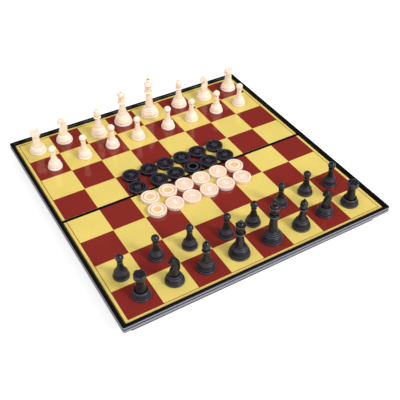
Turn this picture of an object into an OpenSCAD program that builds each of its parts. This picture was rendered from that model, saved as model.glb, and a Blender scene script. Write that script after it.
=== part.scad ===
// Folding magnetic chess and draughts case, open flat on a table with all men set out.
// Origin: middle of the hinge line on the table. X runs along the hinge, +Y to the far half, +Z up.

/* [Board] */
// Pitch of the playing squares
square = 43; // [38:0.5:48]
// Plain margin between the playing field and the rim
margin = 3.5; // [2:0.5:6]
// Yellow left between red squares that meet at their corners
square_gap = 0.3; // [0.2:0.05:0.5]
// Width of the border line along the edge of the playing field
line_w = 0.8; // [0.6:0.1:1.6]
// Distance from the hinge line to where the first row of squares starts
field_start = 0.5; // [0.3:0.1:1]
// Strip of bare case between the playing sheet and the hinge line
seam_strip = 2; // [1.4:0.1:3]

/* [Case] */
// Height of the open case from the table to the top of its rim
case_h = 25.3; // [23:0.1:30]
// Height of the rim above the playing face
rim_up = 3.3; // [2.6:0.1:4.2]
// Width of the rim's top
rim_w = 4.3; // [4:0.1:7]
// Width of the slope from the rim's top down to the playing face
rim_slope = 2.2; // [1:0.1:3]
// Outer corner radius of the rim
rim_corner_r = 3; // [2:0.25:6]
// Corner radius of the playing sheets
sheet_corner_r = 0.5; // [0.5:0.25:2]
// Height of the rim's outer face
skirt_h = 8.6; // [7:0.2:12]
// Thickness of the rim's skirt
skirt_t = 2; // [1.6:0.1:3]
// Thickness of the rim's top, which is hollow below
rim_top_t = 1.8; // [1.4:0.1:2.4]
// Thickness of the rim's inner upright
rim_inner_t = 1.2; // [0.9:0.1:1.4]
// Bevel on the rim's top edges
rim_bevel = 0.6; // [0.3:0.1:1]
// Depth of the grip groove along the outer face
groove_d = 0.5; // [0.3:0.1:0.8]
// Height of the grip groove
groove_w = 2.2; // [1.4:0.1:2.6]
// How far the groove's middle lies below the rim's top
groove_drop = 4; // [3:0.25:5.5]
// How far the rim stands out past the storage body
overhang = 9.5; // [7:0.5:14]
// Wall of the storage body
wall_t = 2.4; // [2:0.1:3.5]
// Outer corner radius of the storage body
body_corner_r = 6; // [4:0.5:12]
// Plate under the playing sheets
deck_t = 1.8; // [1.4:0.1:3]
// Depth of the ribs under the deck
rib_h = 2.5; // [1.5:0.25:4]
// Thickness of ribs and gussets
rib_t = 1.2; // [0.8:0.1:2]
// Gap between the two halves at the hinge line
seam_gap = 0.5; // [0.3:0.1:1]
// Clearance where the closing lips pass each other
lip_gap = 0.2; // [0.1:0.05:0.4]

/* [Playing sheets] */
// Thickness of the steel plate
steel_t = 0.5; // [0.3:0.1:1]
// Thickness of the printed film
film_t = 0.3; // [0.2:0.05:0.5]
// Thickness of the red print
print_t = 0.12; // [0.08:0.02:0.16]
// Clearance round the playing sheets
sheet_gap = 0.15; // [0.1:0.05:0.3]

/* [Hinge] */
// Radius of the hinge barrel
barrel_r = 2.6; // [2.3:0.1:3.2]
// Radius of the hinge pin
pin_r = 1; // [0.7:0.1:1.3]
// Running clearance between pin and knuckle
pin_gap = 0.06; // [0.03:0.01:0.1]
// Distance of each group of knuckles from the middle
hinge_x = 108; // [70:1:120]
// Length of one knuckle
knuckle_len = 12; // [8:0.5:16]
// Gap between neighbouring knuckles
knuckle_gap = 0.4; // [0.3:0.1:0.8]
// Clearance round a barrel where it turns inside the other half
barrel_gap = 0.4; // [0.3:0.1:0.8]

/* [Men] */
// Diameter of the king's base
king_base_d = 26.5; // [24:0.5:30]
// Height of the king to the top of its cross
king_h = 62; // [56:0.5:70]
// Diameter of the king's collar
king_collar_d = 13.4; // [12:0.2:15]
// Diameter of the king's crown at its top
king_crown_d = 12.6; // [11:0.2:14]
// Diameter of the queen's base
queen_base_d = 26; // [24:0.5:30]
// Height of the queen to the top of its ball
queen_h = 53.5; // [48:0.5:60]
// Diameter of the queen's collar
queen_collar_d = 13; // [12:0.2:15]
// Diameter of the queen's coronet at its top
queen_crown_d = 13; // [11.4:0.2:14.6]
// Diameter of the bishop's base
bishop_base_d = 22.8; // [20:0.4:26]
// Height of the bishop to the top of its ball
bishop_h = 44.5; // [40:0.5:50]
// Diameter of the bishop's collar
bishop_collar_d = 10.4; // [9:0.2:12]
// Diameter of the bishop's mitre
bishop_head_d = 9.2; // [8:0.2:10.4]
// Diameter of the knight's base
knight_base_d = 22.8; // [20:0.4:26]
// Height of the knight to the tips of its ears
knight_h = 39; // [35:0.5:43]
// Thickness of the knight's head at the jaw
knight_head_t = 7.4; // [7:0.2:10]
// Diameter of the rook's base
rook_base_d = 22.8; // [20:0.4:26]
// Height of the rook to the top of its battlements
rook_h = 34; // [31:0.5:38]
// Diameter of the rook's battlements
rook_top_d = 14.2; // [12.6:0.2:15.8]
// Diameter of the pawn's base
pawn_base_d = 19.4; // [17:0.4:22]
// Height of the pawn to the top of its ball
pawn_h = 34.8; // [31:0.2:38]
// Diameter of the pawn's ball
pawn_head_d = 9.6; // [8.4:0.2:11]
// Height of the foot ring under every man
foot_h = 3.4; // [2.8:0.1:4]
// Height of the base of king, queen, bishop and rook, up to the column
base_h = 15; // [13:0.5:17]
// Height of the knight's and pawn's base
low_base_h = 10.5; // [9:0.5:12]
// Radius of the bead above the base's bell
bead_r = 0.8; // [0.6:0.1:1]
// Thickness of the felt pad
pad_t = 1; // [0.6:0.1:1.4]
// Wall round the felt pad
pad_wall = 1.4; // [1:0.1:2]
// Diameter of a man's magnet
magnet_d = 9; // [7:0.5:11]
// Thickness of a man's magnet
magnet_t = 2; // [1.4:0.1:2.4]
// Clearance round magnets and pads
seat_gap = 0.1; // [0.05:0.05:0.2]
// Air left between a standing man and the playing face
stand_gap = 0.1; // [0.05:0.05:0.2]

/* [Draughts] */
// Diameter of a draught
draught_d = 23.6; // [21:0.2:24.6]
// Thickness of a draught
draught_t = 5; // [4.4:0.2:6]
// Space between neighbouring draughts
draught_gap = 1.5; // [1.4:0.1:3]
// Width of the raised rim of a draught
draught_rim_w = 2; // [1.4:0.2:2.6]
// Depth of the relief on both faces
relief_d = 0.5; // [0.3:0.1:0.7]
// Thickness of the cap that closes the ring face of a draught
cap_t = 1.4; // [1.2:0.1:1.6]
// Diameter of a draught's magnet
disc_magnet_d = 10; // [8:0.5:12]
// Thickness of a draught's magnet
disc_magnet_t = 1.5; // [1:0.1:1.8]

/* [Hidden] */

$fn = 72;
eps = 0.01;

case_black = "#26262b";
steel_grey = "#8d9095";
film_yellow = "#e5d073";
print_red = "#8c2d28";
man_black = "#2e2e32";
man_white = "#f6d9bf";
felt_green = "#2f5a3c";

// Heights of the case, from the table up
panel_z = case_h - rim_up;
seat_z = panel_z - steel_t - film_t;
deck_z = seat_z - deck_t;
skirt_z = case_h - skirt_h;
axis_z = barrel_r;

// Plan of the open case: half sizes from the middle outwards
field_half = 4 * square + field_start;
sheet_half = field_half + margin;
rim_span = rim_w + rim_slope;
half_w = sheet_half + rim_span;
sheet_y = seam_gap / 2 + seam_strip;

// The closing lips: each is half a wall, and both reach the table
lip_t = (wall_t - lip_gap) / 2;
lip_shoulder_z = 2 * axis_z + lip_gap;

// Two groups of five knuckles, the outer and middle ones on the far half
knuckles = 5;
knuckle_pitch = knuckle_len + knuckle_gap;
group_len = knuckles * knuckle_pitch - knuckle_gap;
pin_end_gap = 0.5;

// Rows of men as they stand in the photograph: how far each is from the middle of its square
black_rank_nudge = [[5.5, 1.5], [3.5, 1], [0, -0.5], [1, -1], [4, -0.5], [3.5, -1], [0, 3.5], [-5.5, 2]];
black_pawn_nudge = [[-1.5, -6], [2.5, 0], [1, -4.5], [4, -11], [0, -9.5], [4.5, 1], [2, 3], [-3.5, 1.5]];
white_rank_nudge = [[-2, -2], [-5, 2.5], [0, -8], [-1, 1], [-2, -0.5], [4, -1], [3, -3], [5, 0]];
white_pawn_nudge = [[5.5, -3.5], [6, -1.5], [5, 0.5], [1, 0], [6, 0.5], [1.5, 0], [0.5, 0], [-3.5, -1]];
white_knight_turn = 14;

// Four rows of draughts along the hinge line, and the ones that lie with their ring face up
draught_pitch = draught_d + draught_gap;
draught_block_y = -4.2;
draught_row_x = [-4.5, -2.5, -4, -7];
draught_nudge = [
    [-0.5, 0.5, -0.5, -0.5, -1, 0.5], [-5.5, 0.5, 0, 0.5, 0, 0],
    [1, 1, 0, -0.5, 0, 0.5], [1, 0.5, 0, 0, -0.5, -0.5]
];
ring_face_up = [[false, false, false, false, false, false], [false, false, false, true, false, false],
    [true, true, false, false, false, true], [true, false, false, false, false, false]];

// Curves for turned profiles: an arc about a centre, and a bend drawn towards a control point
function arc(c, r, a0, a1, n = 8) = [for (i = [0:n])
    let(a = a0 + (a1 - a0) * i / n) c + r * [cos(a), sin(a)]];
function bend(p0, c, p1, n = 8) = [for (i = [0:n]) let(t = i / n)
    (1 - t) * (1 - t) * p0 + 2 * t * (1 - t) * c + t * t * p1];

// Plan of a half sheet: straight at the hinge line, rounded at the two outer corners
module half_sheet(x, y0, y1, r) {
    translate([-x, y0]) square([2 * x, y1 - y0 - r]);
    translate([-x + r, y0]) square([2 * (x - r), y1 - y0]);
    for (s = [-1, 1])
        translate([s * (x - r), y1 - r]) circle(r);
}

// Section of the rim: distance in from the outer face, and height
groove_top = case_h - groove_drop + groove_w / 2;
groove_foot = groove_top - groove_w;
hollow_top = case_h - rim_top_t;
hollow_x = rim_span - rim_inner_t;
rim_section = [
    [0, skirt_z], [0, groove_foot], [groove_d, groove_foot + groove_d],
    [groove_d, groove_top - groove_d], [0, groove_top], [0, case_h - rim_bevel],
    [rim_bevel, case_h], [rim_w - rim_bevel / 2, case_h], [rim_w, case_h - rim_bevel / 2],
    [rim_span, panel_z], [rim_span, deck_z], [hollow_x, deck_z], [hollow_x, panel_z],
    [hollow_x - rim_slope * (hollow_top - panel_z) / rim_up, hollow_top],
    [skirt_t, hollow_top], [skirt_t, skirt_z]
];

// The rim runs up one side, round two corners and down the other side. Its corners are sharper than its
// section is wide, so only what lies within the corner's radius of the outer face turns round them.
module rim() {
    run = half_w - rim_corner_r;
    rotate([90, 0, 90])
        translate([0, 0, -run]) linear_extrude(2 * run)
            polygon([for (p = rim_section) [half_w - p[0], p[1]]]);
    for (s = [0, 1]) mirror([s, 0, 0]) {
        translate([0, run, 0]) rotate([90, 0, 0]) linear_extrude(run - seam_gap / 2)
            polygon([for (p = rim_section) [half_w - p[0], p[1]]]);
        translate([run, run, 0]) rotate_extrude(angle = 90) intersection() {
            polygon([for (p = rim_section) [rim_corner_r - p[0], p[1]]]);
            square([rim_corner_r, case_h]);
        }
    }
}

// Deck under the playing sheets, with the bare strip along the hinge line
module deck() {
    translate([0, 0, deck_z]) linear_extrude(deck_t)
        half_sheet(sheet_half + eps, seam_gap / 2, sheet_half + eps, sheet_corner_r);
    translate([-sheet_half - eps, seam_gap / 2, seat_z - eps])
        cube([2 * sheet_half + 2 * eps, seam_strip - sheet_gap, panel_z - seat_z - stand_gap + eps]);
}

// Ring of wall between two insets from the storage body's outer face
module wall_ring(outer, inner) {
    x = half_w - overhang;
    difference() {
        half_sheet(x - outer, seam_gap / 2, x - outer, body_corner_r - outer);
        translate([0, -1]) half_sheet(x - inner, 0, x - inner + 1, body_corner_r - inner);
    }
}

// Storage body: full wall above the lip's shoulder, half a wall below it
module body_walls(lip_outer) {
    translate([0, 0, lip_shoulder_z]) linear_extrude(deck_z - lip_shoulder_z + eps) wall_ring(0, wall_t);
    linear_extrude(lip_shoulder_z + eps)
        if (lip_outer) wall_ring(0, lip_t);
        else wall_ring(wall_t - lip_t, wall_t);
    x = half_w - overhang - wall_t;
    y0 = seam_gap / 2;
    translate([-x - eps, y0, lip_shoulder_z])
        cube([2 * x + 2 * eps, wall_t, deck_z - lip_shoulder_z + eps]);
    translate([-x + lip_gap, y0, axis_z + lip_gap])
        cube([2 * x - 2 * lip_gap, wall_t, lip_shoulder_z - axis_z]);
}

// Ribs that stiffen the deck inside the storage hollow, one under every line of squares
module deck_ribs() {
    x = half_w - overhang - wall_t;
    y0 = seam_gap / 2 + wall_t;
    z = deck_z - rib_h;
    for (i = [-3:3])
        translate([i * square - rib_t / 2, y0 - eps, z]) cube([rib_t, x - y0 + 2 * eps, rib_h + eps]);
    for (j = [1:3])
        translate([-x - eps, j * square - rib_t / 2, z]) cube([2 * x + 2 * eps, rib_t, rib_h + eps]);
}

// Gussets between the storage body and the skirt, under the overhang
module gusset() {
    y0 = half_w - overhang - eps;
    y1 = half_w - skirt_t + eps;
    top = deck_z + eps;
    rotate([90, 0, 90]) translate([0, 0, -rib_t / 2]) linear_extrude(rib_t)
        polygon([[y0, skirt_z + rib_t], [y0, top], [y1, top], [y1, (deck_z + skirt_z) / 2]]);
}

module gussets() {
    for (i = [-3:3]) translate([i * square, 0, 0]) gusset();
    for (s = [-1, 1], j = [1:3])
        translate([0, j * square, 0]) rotate([0, 0, -90 * s]) gusset();
}

// One knuckle: barrel, and the web that carries it on the middle wall
module knuckle() {
    rotate([0, 90, 0]) cylinder(r = barrel_r, h = knuckle_len);
    translate([0, seam_gap / 2, 0]) cube([knuckle_len, barrel_r - seam_gap / 2, barrel_r + barrel_gap + 1]);
}

// Places the knuckles of one half: first = 0 for the outer and middle ones, 1 for those between
module each_knuckle(first) {
    for (s = [-1, 1], k = [first:2:knuckles - 1])
        translate([s * hinge_x - group_len / 2 + k * knuckle_pitch, 0, axis_z]) children();
}

// Cylinders about the hinge axis, one for each group of knuckles
module on_axis(r, len) {
    for (s = [-1, 1])
        translate([s * hinge_x - len / 2, 0, axis_z]) rotate([0, 90, 0]) cylinder(r = r, h = len);
}

// One half of the case, drawn on the far side of the hinge line
module half_case(lip_outer, first) {
    difference() {
        union() {
            difference() {
                union() {
                    rim();
                    deck();
                    body_walls(lip_outer);
                    deck_ribs();
                    gussets();
                }
                on_axis(barrel_r + barrel_gap, group_len + 2 * knuckle_gap);
            }
            each_knuckle(first) knuckle();
        }
        on_axis(pin_r + pin_gap, group_len + 2);
    }
}

module far_case() { color(case_black) half_case(true, 0); }
module near_case() { color(case_black) mirror([0, 1, 0]) half_case(false, 1); }

// A playing sheet lies inside the rim and stops short of the bare strip
module playing_sheet(z, t) {
    translate([0, 0, z]) linear_extrude(t)
        half_sheet(sheet_half - sheet_gap, sheet_y, sheet_half - sheet_gap, sheet_corner_r);
}

// One red cell. At the field's edge it runs into the border line.
module red_cell(i, j, t) {
    x0 = i == -4 ? i * square - eps : i * square + square_gap / 2;
    x1 = i == 3 ? (i + 1) * square + eps : (i + 1) * square - square_gap / 2;
    y0 = j == 0 ? sheet_y : j * square + field_start + square_gap / 2;
    y1 = j == 3 ? field_half + eps : (j + 1) * square + field_start - square_gap / 2;
    translate([x0, y0, panel_z - t]) cube([x1 - x0, y1 - y0, t]);
}

// Red print of one half: odd = 0 starts the row at the hinge line with a red cell at the left
module red_cells(odd, t) {
    for (i = [-4:3], j = [0:3])
        if ((i + j + odd + 8) % 2 == 0) red_cell(i, j, t);
    translate([0, 0, panel_z - t]) linear_extrude(t) difference() {
        translate([-4 * square - line_w / 2, sheet_y])
            square([8 * square + line_w, field_half + line_w / 2 - sheet_y]);
        translate([-4 * square + line_w / 2, 0]) square([8 * square - line_w, field_half - line_w / 2]);
    }
}

module film(odd) {
    difference() {
        playing_sheet(panel_z - film_t, film_t);
        translate([0, 0, eps]) red_cells(odd, print_t + eps);
    }
}

module far_steel_plate() { color(steel_grey) playing_sheet(seat_z, steel_t); }
module near_steel_plate() { mirror([0, 1, 0]) far_steel_plate(); }
module far_film() { color(film_yellow) film(0); }
module near_film() { color(film_yellow) mirror([0, 1, 0]) film(1); }
module far_red_print() { color(print_red) red_cells(0, print_t); }
module near_red_print() { color(print_red) mirror([0, 1, 0]) red_cells(1, print_t); }
module hinge_pins() { color(steel_grey) on_axis(pin_r, group_len - 2 * pin_end_gap); }

// Foot ring under a man of base radius r
foot_in = 1;
function foot(r) = concat(
    [[0, 0], [r - 0.9, 0]], bend([r - 0.9, 0], [r - 0.2, 0], [r - 0.2, 0.8], 3),
    bend([r - 0.2, foot_h - 1], [r - 0.2, foot_h], [r - foot_in, foot_h], 3));

// Bell of the base: swells to the base radius, then draws in to top_r at the height top_z
function bell(r, top_r, top_z) = concat(
    bend([r - foot_in, foot_h + 0.2], [r + 0.55, foot_h + 1], [r - 0.3, foot_h + 2.6], 5),
    bend([r - 0.3, foot_h + 2.6], [r - 2, top_z * 0.88], [top_r, top_z], 8));

// Half-round ring standing out from radius r, starting at the height z
function bead(r, z, size = bead_r) = arc([r, z + size], size, -90, 90, 6);

// Turned outlines, from the foot up. The column takes up what a change of height brings.
function king_outline() = let(r = king_base_d / 2, c = king_h - 23.5, k = king_h - 11.4) concat(
    foot(r), bell(r, 8.6, base_h), bead(7.9, base_h), [[7, base_h + 1.8], [7, base_h + 2.8]],
    bend([6.6, base_h + 3], [4.5, base_h + 9], [4.4, c - 2], 8),
    [[4.8, c - 1.6]], arc([king_collar_d / 2 - 1.2, c], 1.2, -75, 75, 6),
    [[4.9, c + 1.3], [4.9, c + 2.2], [4.2, c + 2.6]],
    bend([4.2, c + 4.4], [4.6, k - 3], [king_crown_d / 2, k - 0.6], 6),
    [[king_crown_d / 2, k + 0.2], [king_crown_d / 2 - 0.6, k + 0.8], [5, k + 0.6]],
    bend([4.8, k + 1], [4.2, k + 3.4], [1.5, k + 3.8], 5), [[1.3, k + 5], [0, k + 5]]);

function queen_outline() = let(r = queen_base_d / 2, c = queen_h - 19.6, k = queen_h - 6.8) concat(
    foot(r), bell(r, 8.4, base_h), bead(7.7, base_h), [[6.8, base_h + 1.8], [6.8, base_h + 2.6]],
    bend([6.4, base_h + 2.8], [4, base_h + 7.5], [3.8, c - 2], 8),
    [[4.4, c - 1.6]], arc([queen_collar_d / 2 - 1.2, c], 1.2, -75, 75, 6),
    [[5.2, c + 1.3], [5.2, c + 2.2], [4.6, c + 2.6]],
    bend([4.6, c + 4], [4.8, k - 3.4], [queen_crown_d / 2, k], 6),
    [[queen_crown_d / 2 - 1.1, k + 0.2], [queen_crown_d / 2 - 1.9, k - 1.4]],
    bend([queen_crown_d / 2 - 1.9, k - 1.4], [3.6, k + 2.6], [0.9, k + 3.4], 5),
    arc([0, queen_h - 1.7], 1.7, -55, 90, 8));

function bishop_outline() = let(r = bishop_base_d / 2, c = bishop_h - 15.6, m = bishop_h - 9.2) concat(
    foot(r), bell(r, 7.2, base_h - 2), bead(6.5, base_h - 2), [[5.7, base_h - 0.2], [5.7, base_h + 0.6]],
    bend([5.3, base_h + 0.8], [3.3, base_h + 5], [3.1, c - 1.6], 8),
    [[3.6, c - 1.2]], arc([bishop_collar_d / 2 - 0.9, c], 0.9, -75, 75, 6),
    [[3.9, c + 1], [3.9, c + 1.7], [3.2, c + 2]],
    bend([3.2, c + 2.6], [bishop_head_d / 2 + 0.3, c + 3.2], [bishop_head_d / 2, m], 6),
    bend([bishop_head_d / 2, m], [bishop_head_d / 2 - 0.5, m + 4.6], [0.8, bishop_h - 2.3], 7),
    arc([0, bishop_h - 1.3], 1.3, -50, 90, 7));

function rook_outline() = let(r = rook_base_d / 2, t = rook_h, q = rook_top_d / 2) concat(
    foot(r), bell(r, 8, base_h - 3), bead(7.2, base_h - 3), [[6.6, base_h - 1.2]],
    bend([6.4, base_h - 1], [4.9, base_h + 3], [4.8, t - 9.5], 8),
    bend([4.8, t - 9.5], [5, t - 6.6], [q, t - 6], 5),
    [[q, t - 0.4], [q - 0.4, t], [q - 2, t], [q - 2, t - 2.6], [0, t - 2.6]]);

function pawn_outline() = let(r = pawn_base_d / 2, h = pawn_head_d / 2, c = pawn_h - 2 * h - 0.6)
    concat(foot(r), bell(r, 5.4, low_base_h), bead(4.7, low_base_h),
    bend([4.6, low_base_h + 1.7], [2.9, low_base_h + 5], [2.7, c - 1.6], 7),
    arc([2.6, c - 0.6], 0.9, -80, 80, 5),
    arc([0, pawn_h - h], h, -56, 90, 12));

function knight_base_outline() = let(r = knight_base_d / 2) concat(
    foot(r), bell(r, 8, low_base_h - 1), bead(7, low_base_h - 1), [[0, low_base_h + 0.6]]);

// Stepped seat under a man for its felt pad and, above it, its magnet
module seat(r) {
    translate([0, 0, -eps]) cylinder(r = r - foot_in - pad_wall, h = pad_t + eps);
    cylinder(d = magnet_d + 2 * seat_gap, h = pad_t + magnet_t + seat_gap);
}

module magnet() {
    translate([0, 0, pad_t]) cylinder(d = magnet_d, h = magnet_t);
}

module pad(base_d) {
    cylinder(r = base_d / 2 - foot_in - pad_wall - seat_gap, h = pad_t);
}

module turned(outline, base_d) {
    difference() {
        rotate_extrude() polygon(outline);
        seat(base_d / 2);
    }
}

// Cross on the king's crown, its arms flared
module cross() {
    half_t = 0.9;
    rotate([90, 0, 0]) translate([0, 0, -half_t]) linear_extrude(2 * half_t) {
        polygon([[-1.5, -7.6], [1.5, -7.6], [0.7, -3], [1.4, 0], [-1.4, 0], [-0.7, -3]]);
        polygon([[-2.6, -4.3], [0, -3.6], [2.6, -4.3], [2.6, -1.7], [0, -2.4], [-2.6, -1.7]]);
    }
}

module king() {
    turned(king_outline(), king_base_d);
    translate([0, 0, king_h]) cross();
}

// The queen's coronet is scalloped by round cuts through its rim
module queen() {
    scallops = 9;
    scallop_r = 1.25;
    scallop_drop = 6.2;
    difference() {
        turned(queen_outline(), queen_base_d);
        for (k = [0:scallops - 1])
            translate([0, 0, queen_h - scallop_drop]) rotate([0, 90, k * 360 / scallops])
                translate([0, 0, queen_crown_d / 2 - 2.1]) cylinder(r = scallop_r, h = 4, $fn = 24);
    }
}

// The bishop's mitre has its slanting slot
module bishop() {
    slot_w = 1;
    slot_drop = 8.6;
    slot_slant = 32;
    difference() {
        turned(bishop_outline(), bishop_base_d);
        translate([-1, 0, bishop_h - slot_drop]) rotate([0, slot_slant, 0])
            translate([-8, -bishop_head_d, -slot_w / 2]) cube([8, 2 * bishop_head_d, slot_w]);
    }
}

// The rook's wall is notched into battlements
module rook() {
    notches = 6;
    notch_w = 2.2;
    notch_deep = 1.2;
    difference() {
        turned(rook_outline(), rook_base_d);
        for (k = [0:notches - 1]) rotate([0, 0, k * 360 / notches + 15])
            translate([rook_top_d / 2 - 3, -notch_w / 2, rook_h - notch_deep]) cube([4, notch_w, 2]);
    }
}

module pawn() {
    turned(pawn_outline(), pawn_base_d);
}

// Side view of the horse, looking along +X: chest, throat, jaw, mouth, face, ear, and the neck's back
function horse_side() = let(t = knight_h) concat(
    [[5.4, low_base_h - 0.6]], bend([5.6, low_base_h + 1], [7.4, t - 21], [5.4, t - 16.6], 5),
    bend([5.4, t - 16.6], [1.4, t - 14.8], [1.4, t - 11.8], 5),
    [[3, t - 10.2], [5.6, t - 9.8], [6.7, t - 8.9], [6.8, t - 8.2], [4.6, t - 7.9], [7.2, t - 7.5]],
    bend([7.4, t - 7], [7.4, t - 5.6], [6, t - 4.8], 3),
    [[3.6, t - 2.2], [2.9, t - 1.4], [2.2, t], [0.9, t - 1.6]],
    bend([0.4, t - 1.8], [-6.2, t - 6], [-6.6, t - 18], 8),
    bend([-6.6, t - 18], [-6.6, low_base_h + 4], [-5.6, low_base_h - 0.6], 4));

// Mane: a thinner ridge that stands out behind the neck
function mane_side() = let(t = knight_h) concat(
    [[-1, t - 4], [0.6, t - 1.2]], bend([0.2, t - 0.9], [-7.4, t - 5.4], [-7.6, t - 18], 8),
    bend([-7.6, t - 18], [-7.6, low_base_h + 6], [-5.8, low_base_h + 2], 4), [[-4, low_base_h + 4]]);

// Front view of the horse: half width by height, with the two ears apart
function horse_front() = let(t = knight_h, w = knight_head_t / 2) [
    [0, low_base_h - 1], [w + 0.7, low_base_h - 1], [w + 0.5, low_base_h + 3], [w - 0.4, t - 16],
    [w - 0.7, t - 11], [w, t - 8], [w - 0.4, t - 4.4], [w - 1.6, t - 2.4], [w - 1.7, t + 0.1],
    [w - 2.3, t + 0.1], [0.4, t - 2.6], [0, t - 2.6]];

module horse() {
    neck_r = 9.4;
    mane_t = 2.6;
    intersection() {
        rotate([90, 0, 0]) translate([0, 0, -knight_head_t]) linear_extrude(2 * knight_head_t)
            polygon(horse_side());
        rotate([90, 0, 90]) translate([0, 0, -knight_base_d / 2]) linear_extrude(knight_base_d) {
            polygon(horse_front());
            mirror([1, 0]) polygon(horse_front());
        }
        translate([-0.5, 0, 0]) linear_extrude(knight_h)
            scale([1, (knight_head_t / 2 + 0.7) / neck_r]) circle(neck_r, $fn = 32);
    }
    rotate([90, 0, 0]) translate([0, 0, -mane_t / 2]) linear_extrude(mane_t) polygon(mane_side());
}

module knight() {
    eye_d = 1.3;
    turned(knight_base_outline(), knight_base_d);
    difference() {
        horse();
        for (s = [-1, 1])
            translate([3, s * (knight_head_t / 2 - 0.9), knight_h - 4.9]) rotate([-90 * s, 0, 0])
                cylinder(d = eye_d, h = 3, $fn = 20);
    }
}

// Stands a man on the far side (1) or the near side (-1), by its file and its rank from the middle
module stand(side, file, rank, nudge) {
    translate([(file - 3.5) * square + nudge[0], side * (field_start + (rank + 0.5) * square) + nudge[1],
        panel_z + stand_gap]) children();
}

module black_rank(files) {
    for (i = files) stand(-1, i, 3, black_rank_nudge[i]) children();
}
module white_rank(files) {
    for (i = files) stand(1, i, 3, white_rank_nudge[i]) children();
}
module black_pawn_rank() {
    for (i = [0:7]) stand(-1, i, 2, black_pawn_nudge[i]) children();
}
module white_pawn_rank() {
    for (i = [0:7]) stand(1, i, 2, white_pawn_nudge[i]) children();
}

// Crown face: a five-pointed crown over a band, standing up from the floor of the relief
module crown_relief() {
    polygon([[-3.6, -2.6], [3.6, -2.6], [3.6, -1.2], [4.9, 2.4], [2.7, 0.8], [1.7, 3.6], [0, 1.2],
        [-1.7, 3.6], [-2.7, 0.8], [-4.9, 2.4], [-3.6, -1.2]]);
    for (p = [[-4.9, 2.6], [-1.75, 3.9], [1.75, 3.9], [4.9, 2.6]])
        translate(p) circle(r = 0.75, $fn = 16);
    translate([-3.6, -4.2]) square([7.2, 1]);
}

// A draught lies crown face up, its ring face closed by the cap
module draught_cup() {
    r = draught_d / 2;
    in_r = r - draught_rim_w;
    bevel = 0.5;
    line_r = in_r - 1.4;
    line_t = 0.7;
    emblem_h = relief_d - 0.1;
    rotate_extrude() difference() {
        polygon([[0, 0], [r - bevel, 0], [r, bevel], [r, draught_t - bevel],
            [r - bevel, draught_t], [0, draught_t]]);
        square([in_r, cap_t]);
        square([disc_magnet_d / 2 + seat_gap, cap_t + disc_magnet_t + seat_gap]);
        translate([0, draught_t - relief_d]) square([in_r, 1]);
    }
    translate([0, 0, draught_t - relief_d - eps]) linear_extrude(emblem_h + eps) {
        crown_relief();
        difference() {
            circle(r = line_r);
            circle(r = line_r - line_t);
        }
    }
}

module draught_cap() {
    in_r = draught_d / 2 - draught_rim_w - seat_gap;
    ring_r = in_r - 1.9;
    ring_w = 2.3;
    rotate_extrude() difference() {
        square([in_r, cap_t]);
        square([ring_r - ring_w, relief_d]);
        translate([ring_r, 0]) square([in_r, relief_d]);
    }
}

module draught_magnet() {
    translate([0, 0, cap_t]) cylinder(d = disc_magnet_d, h = disc_magnet_t);
}

// Lays out two rows of draughts, each turned a little from the next
module draught_rows(rows) {
    for (j = rows, i = [0:5])
        translate([draught_row_x[j] + (i - 2.5) * draught_pitch + draught_nudge[j][i],
            draught_block_y + (1.5 - j) * draught_pitch, panel_z + stand_gap])
            rotate([0, 0, 40 * i - 25 * j]) if (ring_face_up[j][i])
                translate([0, 0, draught_t]) rotate([180, 0, 0]) children();
            else
                children();
}

module black_king() { color(man_black) black_rank([4]) king(); }
module black_queen() { color(man_black) black_rank([3]) queen(); }
module black_bishops() { color(man_black) black_rank([2, 5]) bishop(); }
module black_knights() { color(man_black) black_rank([1, 6]) rotate([0, 0, 180]) knight(); }
module black_rooks() { color(man_black) black_rank([0, 7]) rook(); }
module black_pawns() { color(man_black) black_pawn_rank() pawn(); }
module white_king() { color(man_white) white_rank([4]) king(); }
module white_queen() { color(man_white) white_rank([3]) queen(); }
module white_bishops() { color(man_white) white_rank([2, 5]) bishop(); }
module white_knights() {
    color(man_white) white_rank([1, 6]) rotate([0, 0, 180 + white_knight_turn]) knight();
}
module white_rooks() { color(man_white) white_rank([0, 7]) rook(); }
module white_pawns() { color(man_white) white_pawn_rank() pawn(); }

module black_king_magnet() { color(steel_grey) black_rank([4]) magnet(); }
module black_queen_magnet() { color(steel_grey) black_rank([3]) magnet(); }
module black_bishop_magnets() { color(steel_grey) black_rank([2, 5]) magnet(); }
module black_knight_magnets() { color(steel_grey) black_rank([1, 6]) magnet(); }
module black_rook_magnets() { color(steel_grey) black_rank([0, 7]) magnet(); }
module black_pawn_magnets() { color(steel_grey) black_pawn_rank() magnet(); }
module white_king_magnet() { color(steel_grey) white_rank([4]) magnet(); }
module white_queen_magnet() { color(steel_grey) white_rank([3]) magnet(); }
module white_bishop_magnets() { color(steel_grey) white_rank([2, 5]) magnet(); }
module white_knight_magnets() { color(steel_grey) white_rank([1, 6]) magnet(); }
module white_rook_magnets() { color(steel_grey) white_rank([0, 7]) magnet(); }
module white_pawn_magnets() { color(steel_grey) white_pawn_rank() magnet(); }

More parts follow.
